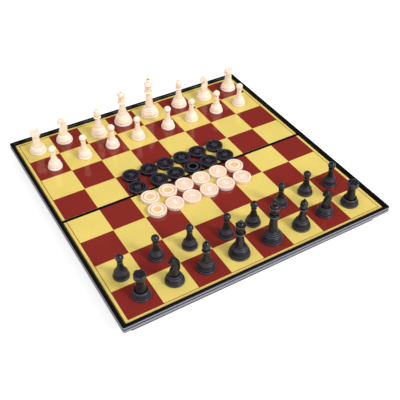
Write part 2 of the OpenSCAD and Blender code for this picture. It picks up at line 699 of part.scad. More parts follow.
module black_king_pad() { color(felt_green) black_rank([4]) pad(king_base_d); }
module black_queen_pad() { color(felt_green) black_rank([3]) pad(queen_base_d); }
module black_bishop_pads() { color(felt_green) black_rank([2, 5]) pad(bishop_base_d); }
module black_knight_pads() { color(felt_green) black_rank([1, 6]) pad(knight_base_d); }
module black_rook_pads() { color(felt_green) black_rank([0, 7]) pad(rook_base_d); }
module black_pawn_pads() { color(felt_green) black_pawn_rank() pad(pawn_base_d); }
module white_king_pad() { color(felt_green) white_rank([4]) pad(king_base_d); }
module white_queen_pad() { color(felt_green) white_rank([3]) pad(queen_base_d); }
module white_bishop_pads() { color(felt_green) white_rank([2, 5]) pad(bishop_base_d); }
module white_knight_pads() { color(felt_green) white_rank([1, 6]) pad(knight_base_d); }
module white_rook_pads() { color(felt_green) white_rank([0, 7]) pad(rook_base_d); }
module white_pawn_pads() { color(felt_green) white_pawn_rank() pad(pawn_base_d); }

module black_draught_cups() { color(man_black) draught_rows([0, 1]) draught_cup(); }
module black_draught_caps() { color(man_black) draught_rows([0, 1]) draught_cap(); }
module black_draught_magnets() { color(steel_grey) draught_rows([0, 1]) draught_magnet(); }
module white_draught_cups() { color(man_white) draught_rows([2, 3]) draught_cup(); }
module white_draught_caps() { color(man_white) draught_rows([2, 3]) draught_cap(); }
module white_draught_magnets() { color(steel_grey) draught_rows([2, 3]) draught_magnet(); }

far_case();
near_case();
far_steel_plate();
near_steel_plate();
far_film();
near_film();
far_red_print();
near_red_print();
hinge_pins();
black_king();
black_king_magnet();
black_king_pad();
black_queen();
black_queen_magnet();
black_queen_pad();
black_bishops();
black_bishop_magnets();
black_bishop_pads();
black_knights();
black_knight_magnets();
black_knight_pads();
black_rooks();
black_rook_magnets();
black_rook_pads();
black_pawns();
black_pawn_magnets();
black_pawn_pads();
white_king();
white_king_magnet();
white_king_pad();
white_queen();
white_queen_magnet();
white_queen_pad();
white_bishops();
white_bishop_magnets();
white_bishop_pads();
white_knights();
white_knight_magnets();
white_knight_pads();
white_rooks();
white_rook_magnets();
white_rook_pads();
white_pawns();
white_pawn_magnets();
white_pawn_pads();
black_draught_cups();
black_draught_caps();
black_draught_magnets();
white_draught_cups();
white_draught_caps();
white_draught_magnets();
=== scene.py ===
"""Looks of a folding chess and draughts case, laid out as an add-on and run as a script.

Every piece is worked out in millimetres as a surface of two parameters, then written to its mesh in metres.
The men stand where their magnets lie in the frame, and take their base and height from it too.
"""

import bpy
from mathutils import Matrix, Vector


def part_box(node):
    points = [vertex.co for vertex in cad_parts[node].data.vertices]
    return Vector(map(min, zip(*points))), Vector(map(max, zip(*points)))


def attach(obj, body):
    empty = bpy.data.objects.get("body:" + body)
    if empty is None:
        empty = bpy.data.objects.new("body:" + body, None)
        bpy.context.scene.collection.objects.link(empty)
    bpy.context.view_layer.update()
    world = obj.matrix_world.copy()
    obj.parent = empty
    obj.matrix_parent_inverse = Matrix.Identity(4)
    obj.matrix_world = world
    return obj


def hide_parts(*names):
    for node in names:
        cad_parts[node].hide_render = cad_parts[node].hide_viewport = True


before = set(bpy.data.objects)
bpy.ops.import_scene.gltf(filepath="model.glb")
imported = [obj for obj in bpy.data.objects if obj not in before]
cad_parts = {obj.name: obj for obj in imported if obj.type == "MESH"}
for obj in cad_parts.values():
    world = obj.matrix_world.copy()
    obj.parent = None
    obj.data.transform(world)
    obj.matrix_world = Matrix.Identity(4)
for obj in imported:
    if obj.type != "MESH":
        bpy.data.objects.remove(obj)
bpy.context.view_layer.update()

from types import SimpleNamespace

import bpy
import numpy as np
from mathutils import Vector

bl_info = {
    "name": "Folding Chess and Draughts Case",
    "version": (1, 0, 0),
    "blender": (4, 5, 0),
    "location": "View3D > Sidebar > Chess Case",
    "description": "Builds the looks of a folding magnetic chess and draughts case",
    "category": "Add Mesh",
}

MM = 0.001
SHEET_GAP = 0.15       # Clearance round the playing sheets
COLOURS = ("black", "white")
MAN_REACH = 15         # More than a man's magnet is wide, less than the gap to the next one
DRAUGHT_REACH = 11     # The same for a draught's magnet
SEAT_GAP = 0.1         # Clearance round a magnet or a pad


# Sizes read from the frame

def corners(node):
    """Lowest and highest corner of a CAD node, in millimetres."""
    return np.array(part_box(node)) / MM


def node_points(node):
    """All the points of a CAD node's mesh, in millimetres, as one array."""
    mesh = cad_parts[node].data
    points = np.empty(len(mesh.vertices) * 3, np.float32)
    mesh.vertices.foreach_get("co", points)
    return points.reshape(-1, 3) / MM


def seats(node, reach):
    """Middle of each separate disc in a node: the points within reach of one another share a disc."""
    points = node_points(node)
    found = []
    while len(points):
        near = np.hypot(*(points[:, :2] - points[0, :2]).T) < reach
        found.append((points[near].min(0) + points[near].max(0)) / 2)
        points = points[~near]
    return sorted(found, key=lambda seat: (round(seat[1]), seat[0]))


def radius_on(node, seat, limit):
    """Radius of what a node has on a seat: its farthest point from the seat's axis within the limit."""
    reach = np.hypot(*(node_points(node)[:, :2] - seat[:2]).T)
    return reach[reach < limit].max()


CASE_HIGH = corners("far_case")[1]
PANEL_Z = corners("far_film")[1][2]
SHEET_HALF = corners("far_film")[1][0]
DECK_TOP = corners("far_steel_plate")[0][2]
MAN_Z = corners("black_king")[0][2]


# Curves

def bend(start, control, end, steps):
    """Quadratic curve: weights (1-t)^2, 2t(1-t) and t^2 on the start, the control point and the end."""
    t = np.linspace(0, 1, steps + 1)[:, None]
    start, control, end = (np.array(p, float) for p in (start, control, end))
    return (1 - t) ** 2 * start + 2 * t * (1 - t) * control + t ** 2 * end


def arc(centre, radius, first, last, steps):
    """Circular arc about a centre, from the first to the last angle in degrees."""
    t = np.radians(np.linspace(first, last, steps + 1))
    return np.array(centre, float) + radius * np.stack([np.cos(t), np.sin(t)], 1)


def chain(*runs):
    """Runs of points one after the other, without a point that repeats the one before it."""
    points = np.concatenate([np.atleast_2d(np.array(run, float)) for run in runs])
    keep = np.append(True, np.linalg.norm(np.diff(points, axis=0), axis=1) > 1e-4)
    return points[keep]


def softened(points, closed=False, limit=0.35):
    """Cuts every corner once: each point gives way to two, a quarter of the way along its edges but at most
    the limit, so long flats stay flat and short edges turn round."""
    def cut(shift):
        """Every point moved along its edge to the neighbour that the shift brings to its place."""
        edge = np.roll(points, shift, 0) - points
        length = np.linalg.norm(edge, axis=1)[:, None]
        return points + edge / np.maximum(length, 1e-9) * np.minimum(0.25 * length, limit)
    pairs = np.stack([cut(1), cut(-1)], 1).reshape(-1, points.shape[1])
    if closed:
        return pairs
    return np.concatenate([points[:1], pairs[2:-2], points[-1:]])


def through(knots, steps):
    """Smooth curve through hand-set knots, with any number of columns: Catmull-Rom cubics, each of them half of
    2b + (c - a)t + (2a - 5b + 4c - d)t^2 + (3b - a - 3c + d)t^3 between the knots b and c."""
    knots = np.array(knots, float)
    padded = np.concatenate([2 * knots[:1] - knots[1:2], knots, 2 * knots[-1:] - knots[-2:-1]])
    t = np.linspace(0, 1, steps, endpoint=False)[None, :, None]
    a, b, c, d = (padded[k:len(padded) - 3 + k][:, None, :] for k in range(4))
    curve = 0.5 * (2 * b + (c - a) * t + (2 * a - 5 * b + 4 * c - d) * t ** 2 + (3 * b - a - 3 * c + d) * t ** 3)
    return np.concatenate([curve.reshape(-1, knots.shape[1]), knots[-1:]])


# Surfaces

class Surface:
    """Points in millimetres, the faces on them, and a tone from -1 to 1 for each point, which its finish reads:
    above zero it lies in a hollow, below zero it stands out. On the case, 1 is a rubbed outer face."""

    def __init__(self, points, faces, tone=None):
        self.points = np.asarray(points, float).reshape(-1, 3)
        self.faces = [np.asarray(f, int) for f in faces]
        self.tone = np.zeros(len(self.points)) if tone is None else np.asarray(tone, float).ravel()

    def placed(self, offset, turn=0, flip=False):
        """A copy turned about Z, perhaps laid upside down about X first, and moved."""
        points = self.points * (np.array([1, -1, -1]) if flip else 1)
        c, s = np.cos(np.radians(turn)), np.sin(np.radians(turn))
        points = points @ np.array([[c, s, 0], [-s, c, 0], [0, 0, 1]]) + np.array(offset, float)
        return Surface(points, self.faces, self.tone)

    def mirrored(self, axis):
        """A copy mirrored through the plane across an axis, its faces turned back to point outwards."""
        points = self.points.copy()
        points[:, axis] *= -1
        return Surface(points, inside_out(self.faces), self.tone)

    def laid(self, order):
        """A copy whose X, Y and Z are taken from the given axes, in a cyclic order that keeps it right way out."""
        return Surface(self.points[:, order], self.faces, self.tone)


def joined(surfaces):
    """One surface from several."""
    starts = np.cumsum([0] + [len(s.points) for s in surfaces])
    faces = [f + start for s, start in zip(surfaces, starts) for f in s.faces]
    return Surface(np.concatenate([s.points for s in surfaces]), faces,
                   np.concatenate([s.tone for s in surfaces]))


def inside_out(faces):
    """The same faces with their corners in the opposite order."""
    return [f[:, ::-1] for f in faces]


def around(count):
    """The angles of so many even steps round a circle, in radians."""
    return np.linspace(0, 2 * np.pi, count, endpoint=False)


def grid_faces(rows, columns, wrap=False):
    """Four-sided faces over rows of points, each row a closed ring, turned outwards where the rings run
    counter-clockwise seen from the last one. wrap joins the last row to the first too."""
    i = np.arange(rows if wrap else rows - 1)[:, None]
    j = np.arange(columns)[None, :]
    below, above = i * columns, (i + 1) % rows * columns
    left, right = j, (j + 1) % columns
    return np.stack([below + left, below + right, above + right, above + left], -1).reshape(-1, 4)


def tube(points, tone=None, clockwise=False):
    """Surface over rows of points, each row a closed ring, with a flat face on each end. clockwise is for rings
    that run the other way round."""
    rows, columns = points.shape[:2]
    ring = np.arange(columns)[None, :]
    faces = [grid_faces(rows, columns), ring[:, ::-1], ring + (rows - 1) * columns]
    return Surface(points, inside_out(faces) if clockwise else faces, tone)


def revolve(profile, turns, warp=None, closed=False, angles=None, tone=None):
    """Surface of revolution: the profile's (r, z) at the angle a is (r cos a, r sin a, z).

    An open profile runs from the axis below, round the outside, to the axis above, and its ends are poles.
    warp takes r, z and a as arrays and gives them back changed.
    """
    profile = np.asarray(profile, float)
    a = around(turns) if angles is None else np.radians(angles)
    rings = profile if closed else profile[1:-1]
    columns = len(a)
    r, z = (np.repeat(rings[:, k:k + 1], columns, 1) for k in (0, 1))
    a = np.repeat(a[None, :], len(rings), 0)
    if warp:
        r, z, a = warp(r, z, a)
    points = np.stack([r * np.cos(a), r * np.sin(a), z], -1).reshape(-1, 3)
    tone = np.zeros(len(rings)) if tone is None else (tone if closed else tone[1:-1])
    tone = np.repeat(tone, columns)
    faces = [grid_faces(len(rings), columns, closed)]
    if closed:
        return Surface(points, faces, tone)
    j = np.arange(columns)
    after, last, start = (j + 1) % columns, len(points) - columns, len(points)
    faces += [np.stack([np.full(columns, start), after, j], 1),
              np.stack([np.full(columns, start + 1), last + j, last + after], 1)]
    poles = [[0, 0, profile[0, 1]], [0, 0, profile[-1, 1]]]
    return Surface(np.concatenate([points, poles]), faces, np.append(tone, [0, 0]))


def carried(section, path_at, tone=None):
    """A closed section of (inset, z) points carried along a level path: path_at gives the path that the points
    of an inset follow. Flat faces close both ends."""
    section = np.asarray(section, float)
    plan = np.stack([path_at(inset) for inset in section[:, 0]], 1)
    height = np.repeat(section[None, :, 1:], len(plan), 0)
    return tube(np.concatenate([plan, height], -1), None if tone is None else np.tile(tone, len(plan)), True)


def three_sides(half, corner, start, inset):
    """Path round one half of the case, at an inset from its outer face: up one side from the hinge line, round
    two corners and back down the other side. The corners' radius is less by the inset, but 0.3 at least."""
    edge, radius = half - inset, max(corner - inset, 0.3)
    run = edge - radius
    right, left = (arc((x, run), radius, first, first + 90, 8) for x, first in ((run, 0), (-run, 90)))
    return np.concatenate([[[edge, start]], right, left, [[-edge, start]]])


def block(low, high, bevel):
    """Box with cut edges: an eight-sided ring of corners at four levels, drawn in by the bevel at both ends."""
    low, high = np.array(low, float), np.array(high, float)
    sign = np.repeat([[1, -1], [1, 1], [-1, 1], [-1, -1]], 2, 0)
    tuck = np.tile([[1, 0], [0, 1], [0, 1], [1, 0]], (2, 1))
    middle, half = (low[:2] + high[:2]) / 2, (high[:2] - low[:2]) / 2
    inset = np.array([bevel, 0, 0, bevel])[:, None, None]
    ring = middle + sign * (half - tuck * (bevel + 0.41 * inset) - inset * (1 - tuck))
    height = np.array([low[2], low[2] + bevel, high[2] - bevel, high[2]])[:, None, None]
    return tube(np.concatenate([ring, np.broadcast_to(height, ring.shape[:2] + (1,))], -1))


def drawn_out(section, first, last):
    """A closed (y, z) section, counter-clockwise, drawn along X from the first to the last place."""
    section = np.asarray(section, float)
    x = np.array([first, last], float)[:, None, None]
    return tube(np.concatenate([np.broadcast_to(x, (2, len(section), 1)), np.repeat(section[None], 2, 0)], -1))


# Putting a surface into the scene

def add_object(name, data):
    """A new object in the scene."""
    made = bpy.data.objects.new(name, data)
    bpy.context.scene.collection.objects.link(made)
    return made


def make_piece(context, node, surface, body, slot, sharp=40):
    """Writes a surface to a mesh in metres, smooth but for edges sharper than the given angle, in the finish of
    its slot, and makes it ride on its body in place of a CAD node."""
    name = node + "_moulding"
    mesh = bpy.data.meshes.new(name)
    mesh.vertices.add(len(surface.points))
    mesh.vertices.foreach_set("co", (surface.points * MM).astype(np.float32).ravel())
    sizes = np.concatenate([np.full(len(f), f.shape[1]) for f in surface.faces])
    mesh.loops.add(int(sizes.sum()))
    mesh.loops.foreach_set("vertex_index", np.concatenate([f.ravel() for f in surface.faces]))
    mesh.polygons.add(len(sizes))
    mesh.polygons.foreach_set("loop_start", np.append(0, np.cumsum(sizes)[:-1]))
    mesh.polygons.foreach_set("use_smooth", np.ones(len(sizes), bool))
    mesh.update(calc_edges=True)
    mesh.validate()
    tone = mesh.attributes.new("tone", "FLOAT", "POINT")
    tone.data.foreach_set("value", surface.tone.astype(np.float32))
    mesh.set_sharp_from_angle(angle=np.radians(sharp))
    mesh.materials.append(finish(context, slot))
    piece = add_object(name, mesh)
    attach(piece, body)
    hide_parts(node)


def dress(context, slot, *nodes):
    """Gives CAD nodes the finish of a slot."""
    for node in nodes:
        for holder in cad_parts[node].material_slots:
            holder.material = finish(context, slot)


# Materials

class Wire:
    """An output socket of a node tree. Arithmetic on it adds Math nodes."""

    def __init__(self, nodes, socket):
        self.nodes, self.socket = nodes, socket

    def math(self, operation, *values):
        return self.nodes.node("Math", {"operation": operation}, dict(enumerate(values)))

    def __add__(self, other):
        return self.math("ADD", self, other)

    def __mul__(self, other):
        return self.math("MULTIPLY", self, other)


class Nodes:
    """A node tree under construction."""

    def __init__(self, tree):
        self.tree = tree

    def feed(self, node, values):
        """Sets or links the sockets of a node, by name or number."""
        for key, value in values.items():
            if isinstance(value, Wire):
                self.tree.links.new(value.socket, node.inputs[key])
            else:
                node.inputs[key].default_value = value

    def node(self, kind, settings=(), values=(), output=0):
        """Adds a shader node: its settings first, then its sockets. Gives back one of its outputs."""
        node = self.tree.nodes.new("ShaderNode" + kind)
        for key, value in dict(settings).items():
            setattr(node, key, value)
        self.feed(node, dict(values))
        return Wire(self, node.outputs[output])

    def span(self, value, low, high, start=0.0, end=1.0):
        """Runs evenly from start to end while the value goes from low to high, and stays level outside."""
        return self.node("MapRange", {}, {0: value, 1: low, 2: high, 3: start, 4: end})


class Paint(Nodes):
    """A material under construction on one Principled shader, whose fixed values are given at the start."""

    def __init__(self, name, **fixed):
        self.material = bpy.data.materials.new(name)
        self.material.use_nodes = True
        super().__init__(self.material.node_tree)
        self.shader = self.tree.nodes["Principled BSDF"]
        self.place = self.node("TexCoord", output="Object")
        self.surface(**fixed)

    def noise(self, size, detail, stretch=None):
        """Noise from 0 to 1 whose lumps are about the given size in millimetres, perhaps drawn out along axes."""
        place = self.place
        if stretch:
            place = self.node("Mapping", {}, {"Vector": place, "Scale": stretch})
        return self.node("TexNoise", {}, {"Vector": place, "Scale": 1 / (size * MM), "Detail": detail})

    def blend(self, amount, first, second):
        """Mixes two colours, given as (r, g, b) or as wires."""
        first, second = (c if isinstance(c, Wire) else (*c, 1) for c in (first, second))
        return self.node("Mix", {"data_type": "RGBA"}, {0: amount, 6: first, 7: second}, output=2)

    def shades(self, amount, colour, low, high):
        """Runs from one shade of a colour to another as the amount goes from 0 to 1."""
        return self.blend(amount, shade(colour, low), shade(colour, high))

    def tone(self):
        """The point value that make_piece wrote: how deep a point lies in a hollow, or on an outer face."""
        return self.node("Attribute", {"attribute_name": "tone"}, output="Fac")

    def bumps(self, height, distance, strength):
        """Normal of a surface with bumps of the given height in millimetres."""
        return self.node("Bump", {}, {"Height": height, "Distance": distance * MM, "Strength": strength})

    def grime(self, amount):
        """Covers the shader with dull black, by the given amount."""
        dull = self.node("BsdfDiffuse", {}, {"Color": (0.002, 0.002, 0.002, 1)})
        covered = self.node("MixShader", {}, {0: amount, 1: Wire(self, self.shader.outputs[0]), 2: dull})
        self.feed(self.tree.nodes["Material Output"], {"Surface": covered})

    def surface(self, **links):
        """Sets the shader's inputs, or links what varies over the surface, and gives back the material."""
        self.feed(self.shader, {key.replace("_", " "): value for key, value in links.items()})
        return self.material


def shade(colour, factor):
    """A colour made darker or lighter."""
    return tuple(min(1.0, c * factor) for c in colour)


def moulded_plastic(name, colour, sheen_colour, rough):
    """Moulded black plastic: fine grain all over, faint flow marks, and paler where its outer faces are rubbed."""
    paint = Paint(name, IOR=1.5, Specular_IOR_Level=0.1)
    flow = paint.noise(26, 3)
    grain = paint.noise(0.55, 1)
    base = paint.shades(flow, colour, 0.8, 1.25)
    # Painted sheen: outer faces take a pale lavender colour in place of the light they reflect.
    painted_sheen = paint.shades(paint.noise(9, 4, (1, 1, 6)), sheen_colour, 0.86, 1.12)
    return paint.surface(
        Base_Color=paint.blend(paint.tone(), base, painted_sheen),
        Roughness=paint.span(flow, 0.3, 0.7, rough - 0.05, rough + 0.06) + paint.tone() * 0.14,
        Normal=paint.bumps(grain, 0.03, 0.3))


def printed_film(name, colour, rough):
    """Glossy printed film: the ink varies a little, and the film lies in long shallow waves."""
    paint = Paint(name, IOR=1.5)
    ink = paint.noise(38, 4) * 0.6 + paint.noise(2.4, 2) * 0.4
    waves = paint.noise(55, 1)
    fibre = paint.noise(0.7, 2)
    return paint.surface(
        Base_Color=paint.shades(paint.span(ink, 0.3, 0.7), colour, 0.93, 1.05),
        Roughness=paint.span(paint.noise(13, 3), 0.3, 0.75, rough - 0.03, rough + 0.05),
        Normal=paint.bumps(waves + fibre * 0.012, 0.5, 0.5))


def satin_men(name, colour, rough):
    """Satin black plastic of the men: dull black in its grooves, greyer where it is rubbed on the edges that
    stand out, with a faint orange-peel skin."""
    paint = Paint(name, IOR=1.5, Specular_IOR_Level=0.5)
    skin, tone = paint.noise(1.6, 2), paint.tone()
    base = paint.shades(paint.noise(7, 3), colour, 0.8, 1.3)
    # Painted shade: dull black over the grooves and hollows.
    paint.grime(paint.span(tone, 0.08, 0.6, 0, 0.9))
    return paint.surface(
        # Painted highlight: a lighter grey on the edges that stand out.
        Base_Color=paint.blend(tone * -1, base, shade(colour, 16)),
        Roughness=paint.span(skin, 0.25, 0.75, rough - 0.05, rough + 0.07),
        Normal=paint.bumps(skin, 0.05, 0.45))


def milky_men(name, colour, deep, rough, through):
    """Pale plastic that light sinks into: near white where it stands out, peach where it lies back."""
    paint = Paint(name, IOR=1.47, Subsurface_Weight=through, Subsurface_Radius=(1.0, 0.42, 0.22),
                  Subsurface_Scale=0.004)
    cloud, tone = paint.noise(6, 3), paint.tone()
    base = paint.shades(paint.span(cloud, 0.3, 0.7), colour, 0.965, 1.02)
    pale = tuple(0.5 + 0.5 * c for c in colour)
    return paint.surface(
        # Painted highlight where it stands out, painted shade in peach where it lies back.
        Base_Color=paint.blend(tone * -1, paint.blend(paint.span(tone, 0.15, 1), base, deep), pale),
        Roughness=paint.span(paint.noise(2, 2), 0.25, 0.75, rough - 0.04, rough + 0.07),
        Normal=paint.bumps(cloud, 0.06, 0.4))


def grained(name, colour, grain, shades, rough, bumps, **fixed):
    """Metal or ferrite: one noise, told by its size, detail and stretch, makes the colour run between two
    shades, the roughness between two values, and the surface rise in bumps."""
    paint = Paint(name, **fixed)
    lines = paint.noise(*grain)
    return paint.surface(Base_Color=paint.shades(lines, colour, *shades),
                         Roughness=paint.span(lines, 0.3, 0.7, *rough), Normal=paint.bumps(lines, *bumps))


def rolled_steel(name, colour, rough, stretch):
    """Bright steel with fine rolling lines."""
    return grained(name, colour, (1.1, 3, stretch), (0.82, 1.15), (rough - 0.08, rough + 0.1), (0.02, 0.4),
                   Metallic=1.0)


def ferrite(name, colour):
    """Dark sintered magnet, finely pitted."""
    return grained(name, colour, (0.4, 3), (0.7, 1.4), (0.35, 0.6), (0.05, 0.6), IOR=1.9)


def felt(name, colour):
    """Pressed felt: matted fibres in two sizes, with sheen."""
    paint = Paint(name, Sheen_Weight=0.4, Sheen_Roughness=0.5)
    fibres = paint.noise(0.35, 3, (1, 3, 1)) * 0.6 + paint.noise(0.9, 2, (3, 1, 1)) * 0.4
    return paint.surface(
        Base_Color=paint.shades(paint.span(fibres, 0.35, 0.65), colour, 0.6, 1.35),
        Roughness=paint.span(fibres, 0.3, 0.7, 0.85, 1.0),
        Normal=paint.bumps(fibres, 0.25, 0.8))


# Sizes and colours that a user would change

def length(description, millimetres):
    """A length property, kept in metres."""
    return bpy.props.FloatProperty(description=description, default=millimetres * MM, unit="LENGTH", precision=4)


def colour(description, default):
    """A colour property, in scene linear values."""
    return bpy.props.FloatVectorProperty(description=description, default=default, size=3, subtype="COLOR",
                                         min=0, max=1)


def labelled(group):
    """Labels every property of a group with its own name in words."""
    for key, prop in group.__annotations__.items():
        prop.keywords["name"] = key.replace("_", " ").capitalize()
    return group


@labelled
class CaseSizes(bpy.types.PropertyGroup):
    """Sizes of the two case halves that the frame's boxes don't give."""

    rim_span: length("From the rim's outer face to the playing face", CASE_HIGH[0] - SHEET_HALF - SHEET_GAP)
    rim_slope: length("Width of the slope down to the playing face", 2.2)
    rim_corner: length("Outer radius of the rim's corners", 3)
    skirt_height: length("Height of the rim's outer face", 8.6)
    skirt_wall: length("Thickness of the skirt", 2)
    rim_top: length("Thickness of the rim's top", 1.8)
    rim_upright: length("Thickness of the rim's inner upright", 1.2)
    edge: length("Rounding of the rim's outer edge", 2)
    groove_depth: length("Depth of the grip groove", 0.5)
    groove_height: length("Height of the grip groove", 2.2)
    groove_drop: length("Distance of the groove's middle below the rim's top", 4)
    overhang: length("How far the rim stands out past the storage body", 9.5)
    wall: length("Thickness of the storage body's wall", 2.4)
    wall_corner: length("Outer radius of the storage body's corners", 6)
    lip: length("Thickness of a closing lip", 1.1)
    lip_gap: length("Clearance between the closing lips", 0.2)
    deck: length("Thickness of the plate under the playing sheets", 1.8)
    rib_depth: length("Depth of the ribs under the deck", 2.5)
    rib: length("Thickness of ribs and gussets", 1.2)
    seam: length("Gap between the halves", 0.5)
    strip: length("Bare strip along the hinge line", 1.85)
    barrel: length("Radius of the hinge barrel", 2.6)
    bore: length("Radius of the bore for the hinge pin", 1.06)
    knuckle: length("Length of a hinge knuckle", 12)
    knuckle_gap: length("Gap between knuckles", 0.4)
    barrel_gap: length("Clearance round a barrel", 0.4)
    line: length("Width of the printed line round the squares", 0.8)


@labelled
class MenSizes(bpy.types.PropertyGroup):
    """Sizes that the men share."""

    foot: length("Height of the foot ring", 3)
    groove: length("Depth of the groove above the foot ring", 2.1)
    base: length("Height of the base of the tall men", 15)
    low_base: length("Height of the base of knight and pawn", 10.5)
    bead: length("Radius of the lowest ring on a king's base", 1)
    slot: length("Width of the bishop's slot", 1)
    notch_depth: length("Depth of the rook's notches", 1.2)
    notch_width: length("Width of the rook's notches", 2.2)
    scallop: length("Depth of the scallops in the queen's coronet", 1.1)
    head: length("Thickness of the knight's head at the jaw", 7.4)


@labelled
class DraughtSizes(bpy.types.PropertyGroup):
    """Sizes of the draughts' relief."""

    edge: length("Rounding of a draught's edges", 0.5)
    rim: length("Width of the raised rim", 2)
    relief: length("Depth of the relief", 0.5)
    line: length("Width of the thin ring on the crown face", 0.7)
    ring: length("Width of the broad ring on the ring face", 2.8)
    crown: length("Half width of the crown", 5.9)


@labelled
class Finishes(bpy.types.PropertyGroup):
    """Colours of the finishes."""

    case: colour("Black of the case", (0.006, 0.0052, 0.0055))
    # Painted sheen of the case's outer faces, in place of reflected light.
    case_face_sheen: colour("Rubbed outer faces of the case", (0.225, 0.219, 0.258))
    yellow: colour("Yellow film", (0.74, 0.58, 0.15))
    red: colour("Red print", (0.222, 0.021, 0.016))
    black_men: colour("Black of the men and draughts", (0.004, 0.0036, 0.005))
    white_men: colour("Ivory of the men and draughts", (1.0, 0.745, 0.575))
    # Painted shade: colour of the ivory's hollows.
    peach: colour("The ivory where it lies back", (1.0, 0.47, 0.19))
    steel: colour("Plates and hinge pins", (0.56, 0.57, 0.6))
    ferrite: colour("Magnets", (0.05, 0.05, 0.055))
    felt: colour("Pads under the men", (0.03, 0.11, 0.05))


GROUPS = {"case_sizes": CaseSizes, "men_sizes": MenSizes, "draught_sizes": DraughtSizes, "finishes": Finishes}


def sizes(context, group):
    """The lengths of a property group in millimetres, under their own names."""
    values = getattr(context.scene, group)
    return SimpleNamespace(**{key: getattr(values, key) / MM for key in GROUPS[group].__annotations__})


# The case

KNUCKLES = 5           # In each group, the outer and middle ones on the far half
PIN_END_GAP = 0.5      # From the end of a pin to the outer face of its group


def rim_section(s):
    """Section of the rim as (inset, z): up the grooved outer face, over the top, down the inner slope, and back
    through the hollow below. The second result is 1 on the outer face, but for its groove, and 0 elsewhere."""
    top, foot, deck = CASE_HIGH[2], CASE_HIGH[2] - s.skirt_height, DECK_TOP - s.deck
    low, high = top - s.groove_drop - s.groove_height / 2, top - s.groove_drop + s.groove_height / 2
    groove = softened(np.array([[0, low - 1], [0, low], [s.groove_depth, low + s.groove_depth],
                                [s.groove_depth, high - s.groove_depth], [0, high], [0, high + 0.6]]))
    face = chain(arc((0.35, foot + 0.35), 0.35, 270, 180, 4), softened(groove))
    # Painted sheen: the outer face, but for its groove, is marked for a pale colour.
    sheen_face = (face[:, 0] < 0.2) & (face[:, 1] > foot + 0.3)
    crest, lean = s.rim_span - s.rim_slope, s.rim_slope / (top - PANEL_Z)
    over = chain(arc((s.edge, top - s.edge), s.edge, 180, 90, 10),
                 bend((crest - 0.5, top), (crest, top), (crest + 0.5 * lean, top - 0.5), 5),
                 [[s.rim_span, PANEL_Z]])
    inner, under = s.rim_span - s.rim_upright, top - s.rim_top
    back = [[s.rim_span, deck], [inner, deck], [inner, PANEL_Z], [inner - lean * (under - PANEL_Z), under],
            [s.skirt_wall, under], [s.skirt_wall, foot]]
    section = np.concatenate([face, over, back])
    return section, np.concatenate([sheen_face, np.arange(len(section) - len(face)) < 4]).astype(float)


def storage_wall(s, outer_lip):
    """Section of the storage wall as (inset, z): a full wall that steps down to a lip of half its thickness."""
    shoulder = 2 * s.barrel + s.lip_gap
    deck = DECK_TOP - s.deck + 0.01
    if outer_lip:
        return [[0, 0.2], [0, deck], [s.wall, deck], [s.wall, shoulder], [s.lip, shoulder], [s.lip, 0.2],
                [s.lip - 0.2, 0], [0.2, 0]]
    inset = s.wall - s.lip
    return [[inset, 0.2], [inset, shoulder], [0, shoulder], [0, deck], [s.wall, deck], [s.wall, 0.2],
            [s.wall - 0.2, 0], [inset + 0.2, 0]]


def middle_wall(s, pins, inside):
    """Wall along the hinge line, cut away round the barrels over the length of each group of knuckles."""
    near, far = s.seam / 2, s.seam / 2 + s.wall
    deck, low = DECK_TOP - s.deck, s.barrel + s.lip_gap
    clear = s.barrel + s.barrel_gap
    first, last = (np.degrees(np.arccos(y / clear)) for y in (near, far))
    plain = [[near, low], [far, low], [far, deck], [near, deck]]
    cut = chain(arc((0, s.barrel), clear, first, last, 8), [[far, deck], [near, deck]])
    stops = [-inside] + [x + side * (half + s.knuckle_gap) for x, half in pins for side in (-1, 1)] + [inside]
    return [drawn_out(cut if k % 2 else plain, *stops[k:k + 2]) for k in range(len(stops) - 1)]


def knuckles(s, pins, first):
    """Every other knuckle of each group: a bored barrel with rounded ends, and its web on the middle wall."""
    ends = 0.25
    tube = [[s.bore, 0], [s.barrel - ends, 0], [s.barrel, ends], [s.barrel, s.knuckle - ends],
            [s.barrel - ends, s.knuckle], [s.bore, s.knuckle]]
    barrel = revolve(softened(np.array(tube), True, 0.1), 48, closed=True).laid((2, 0, 1))
    made = []
    for middle, half in pins:
        for k in range(first, KNUCKLES, 2):
            x = middle - half + k * (s.knuckle + s.knuckle_gap)
            made.append(barrel.placed((x, 0, s.barrel)))
            made.append(block((x, s.seam / 2, s.barrel), (x + s.knuckle, s.barrel, 2 * s.barrel + 1.4), 0.1))
    return made


def under_ribs(s, square, inside):
    """Ribs below the deck, one under every line of squares, and gussets between storage wall and skirt."""
    deck, top = DECK_TOP - s.deck, CASE_HIGH[2]
    half, near = s.rib / 2, s.seam / 2 + s.wall
    lines = square * np.arange(-3, 4)
    made = [block((x - half, near, deck - s.rib_depth), (x + half, inside, deck + 0.1), 0.15) for x in lines]
    made += [block((-inside, y - half, deck - s.rib_depth), (inside, y + half, deck + 0.1), 0.15)
             for y in lines[4:]]
    wall, skirt, foot = CASE_HIGH[0] - s.overhang, CASE_HIGH[0] - s.skirt_wall, top - s.skirt_height
    gusset = drawn_out([[wall - 0.1, foot + s.rib], [skirt + 0.1, (deck + foot) / 2], [skirt + 0.1, deck],
                        [wall - 0.1, deck]], -half, half)
    made += [gusset.placed((x, 0, 0)) for x in lines]
    return made + [gusset.placed((0, y, 0), turn) for y in lines[4:] for turn in (-90, 90)]


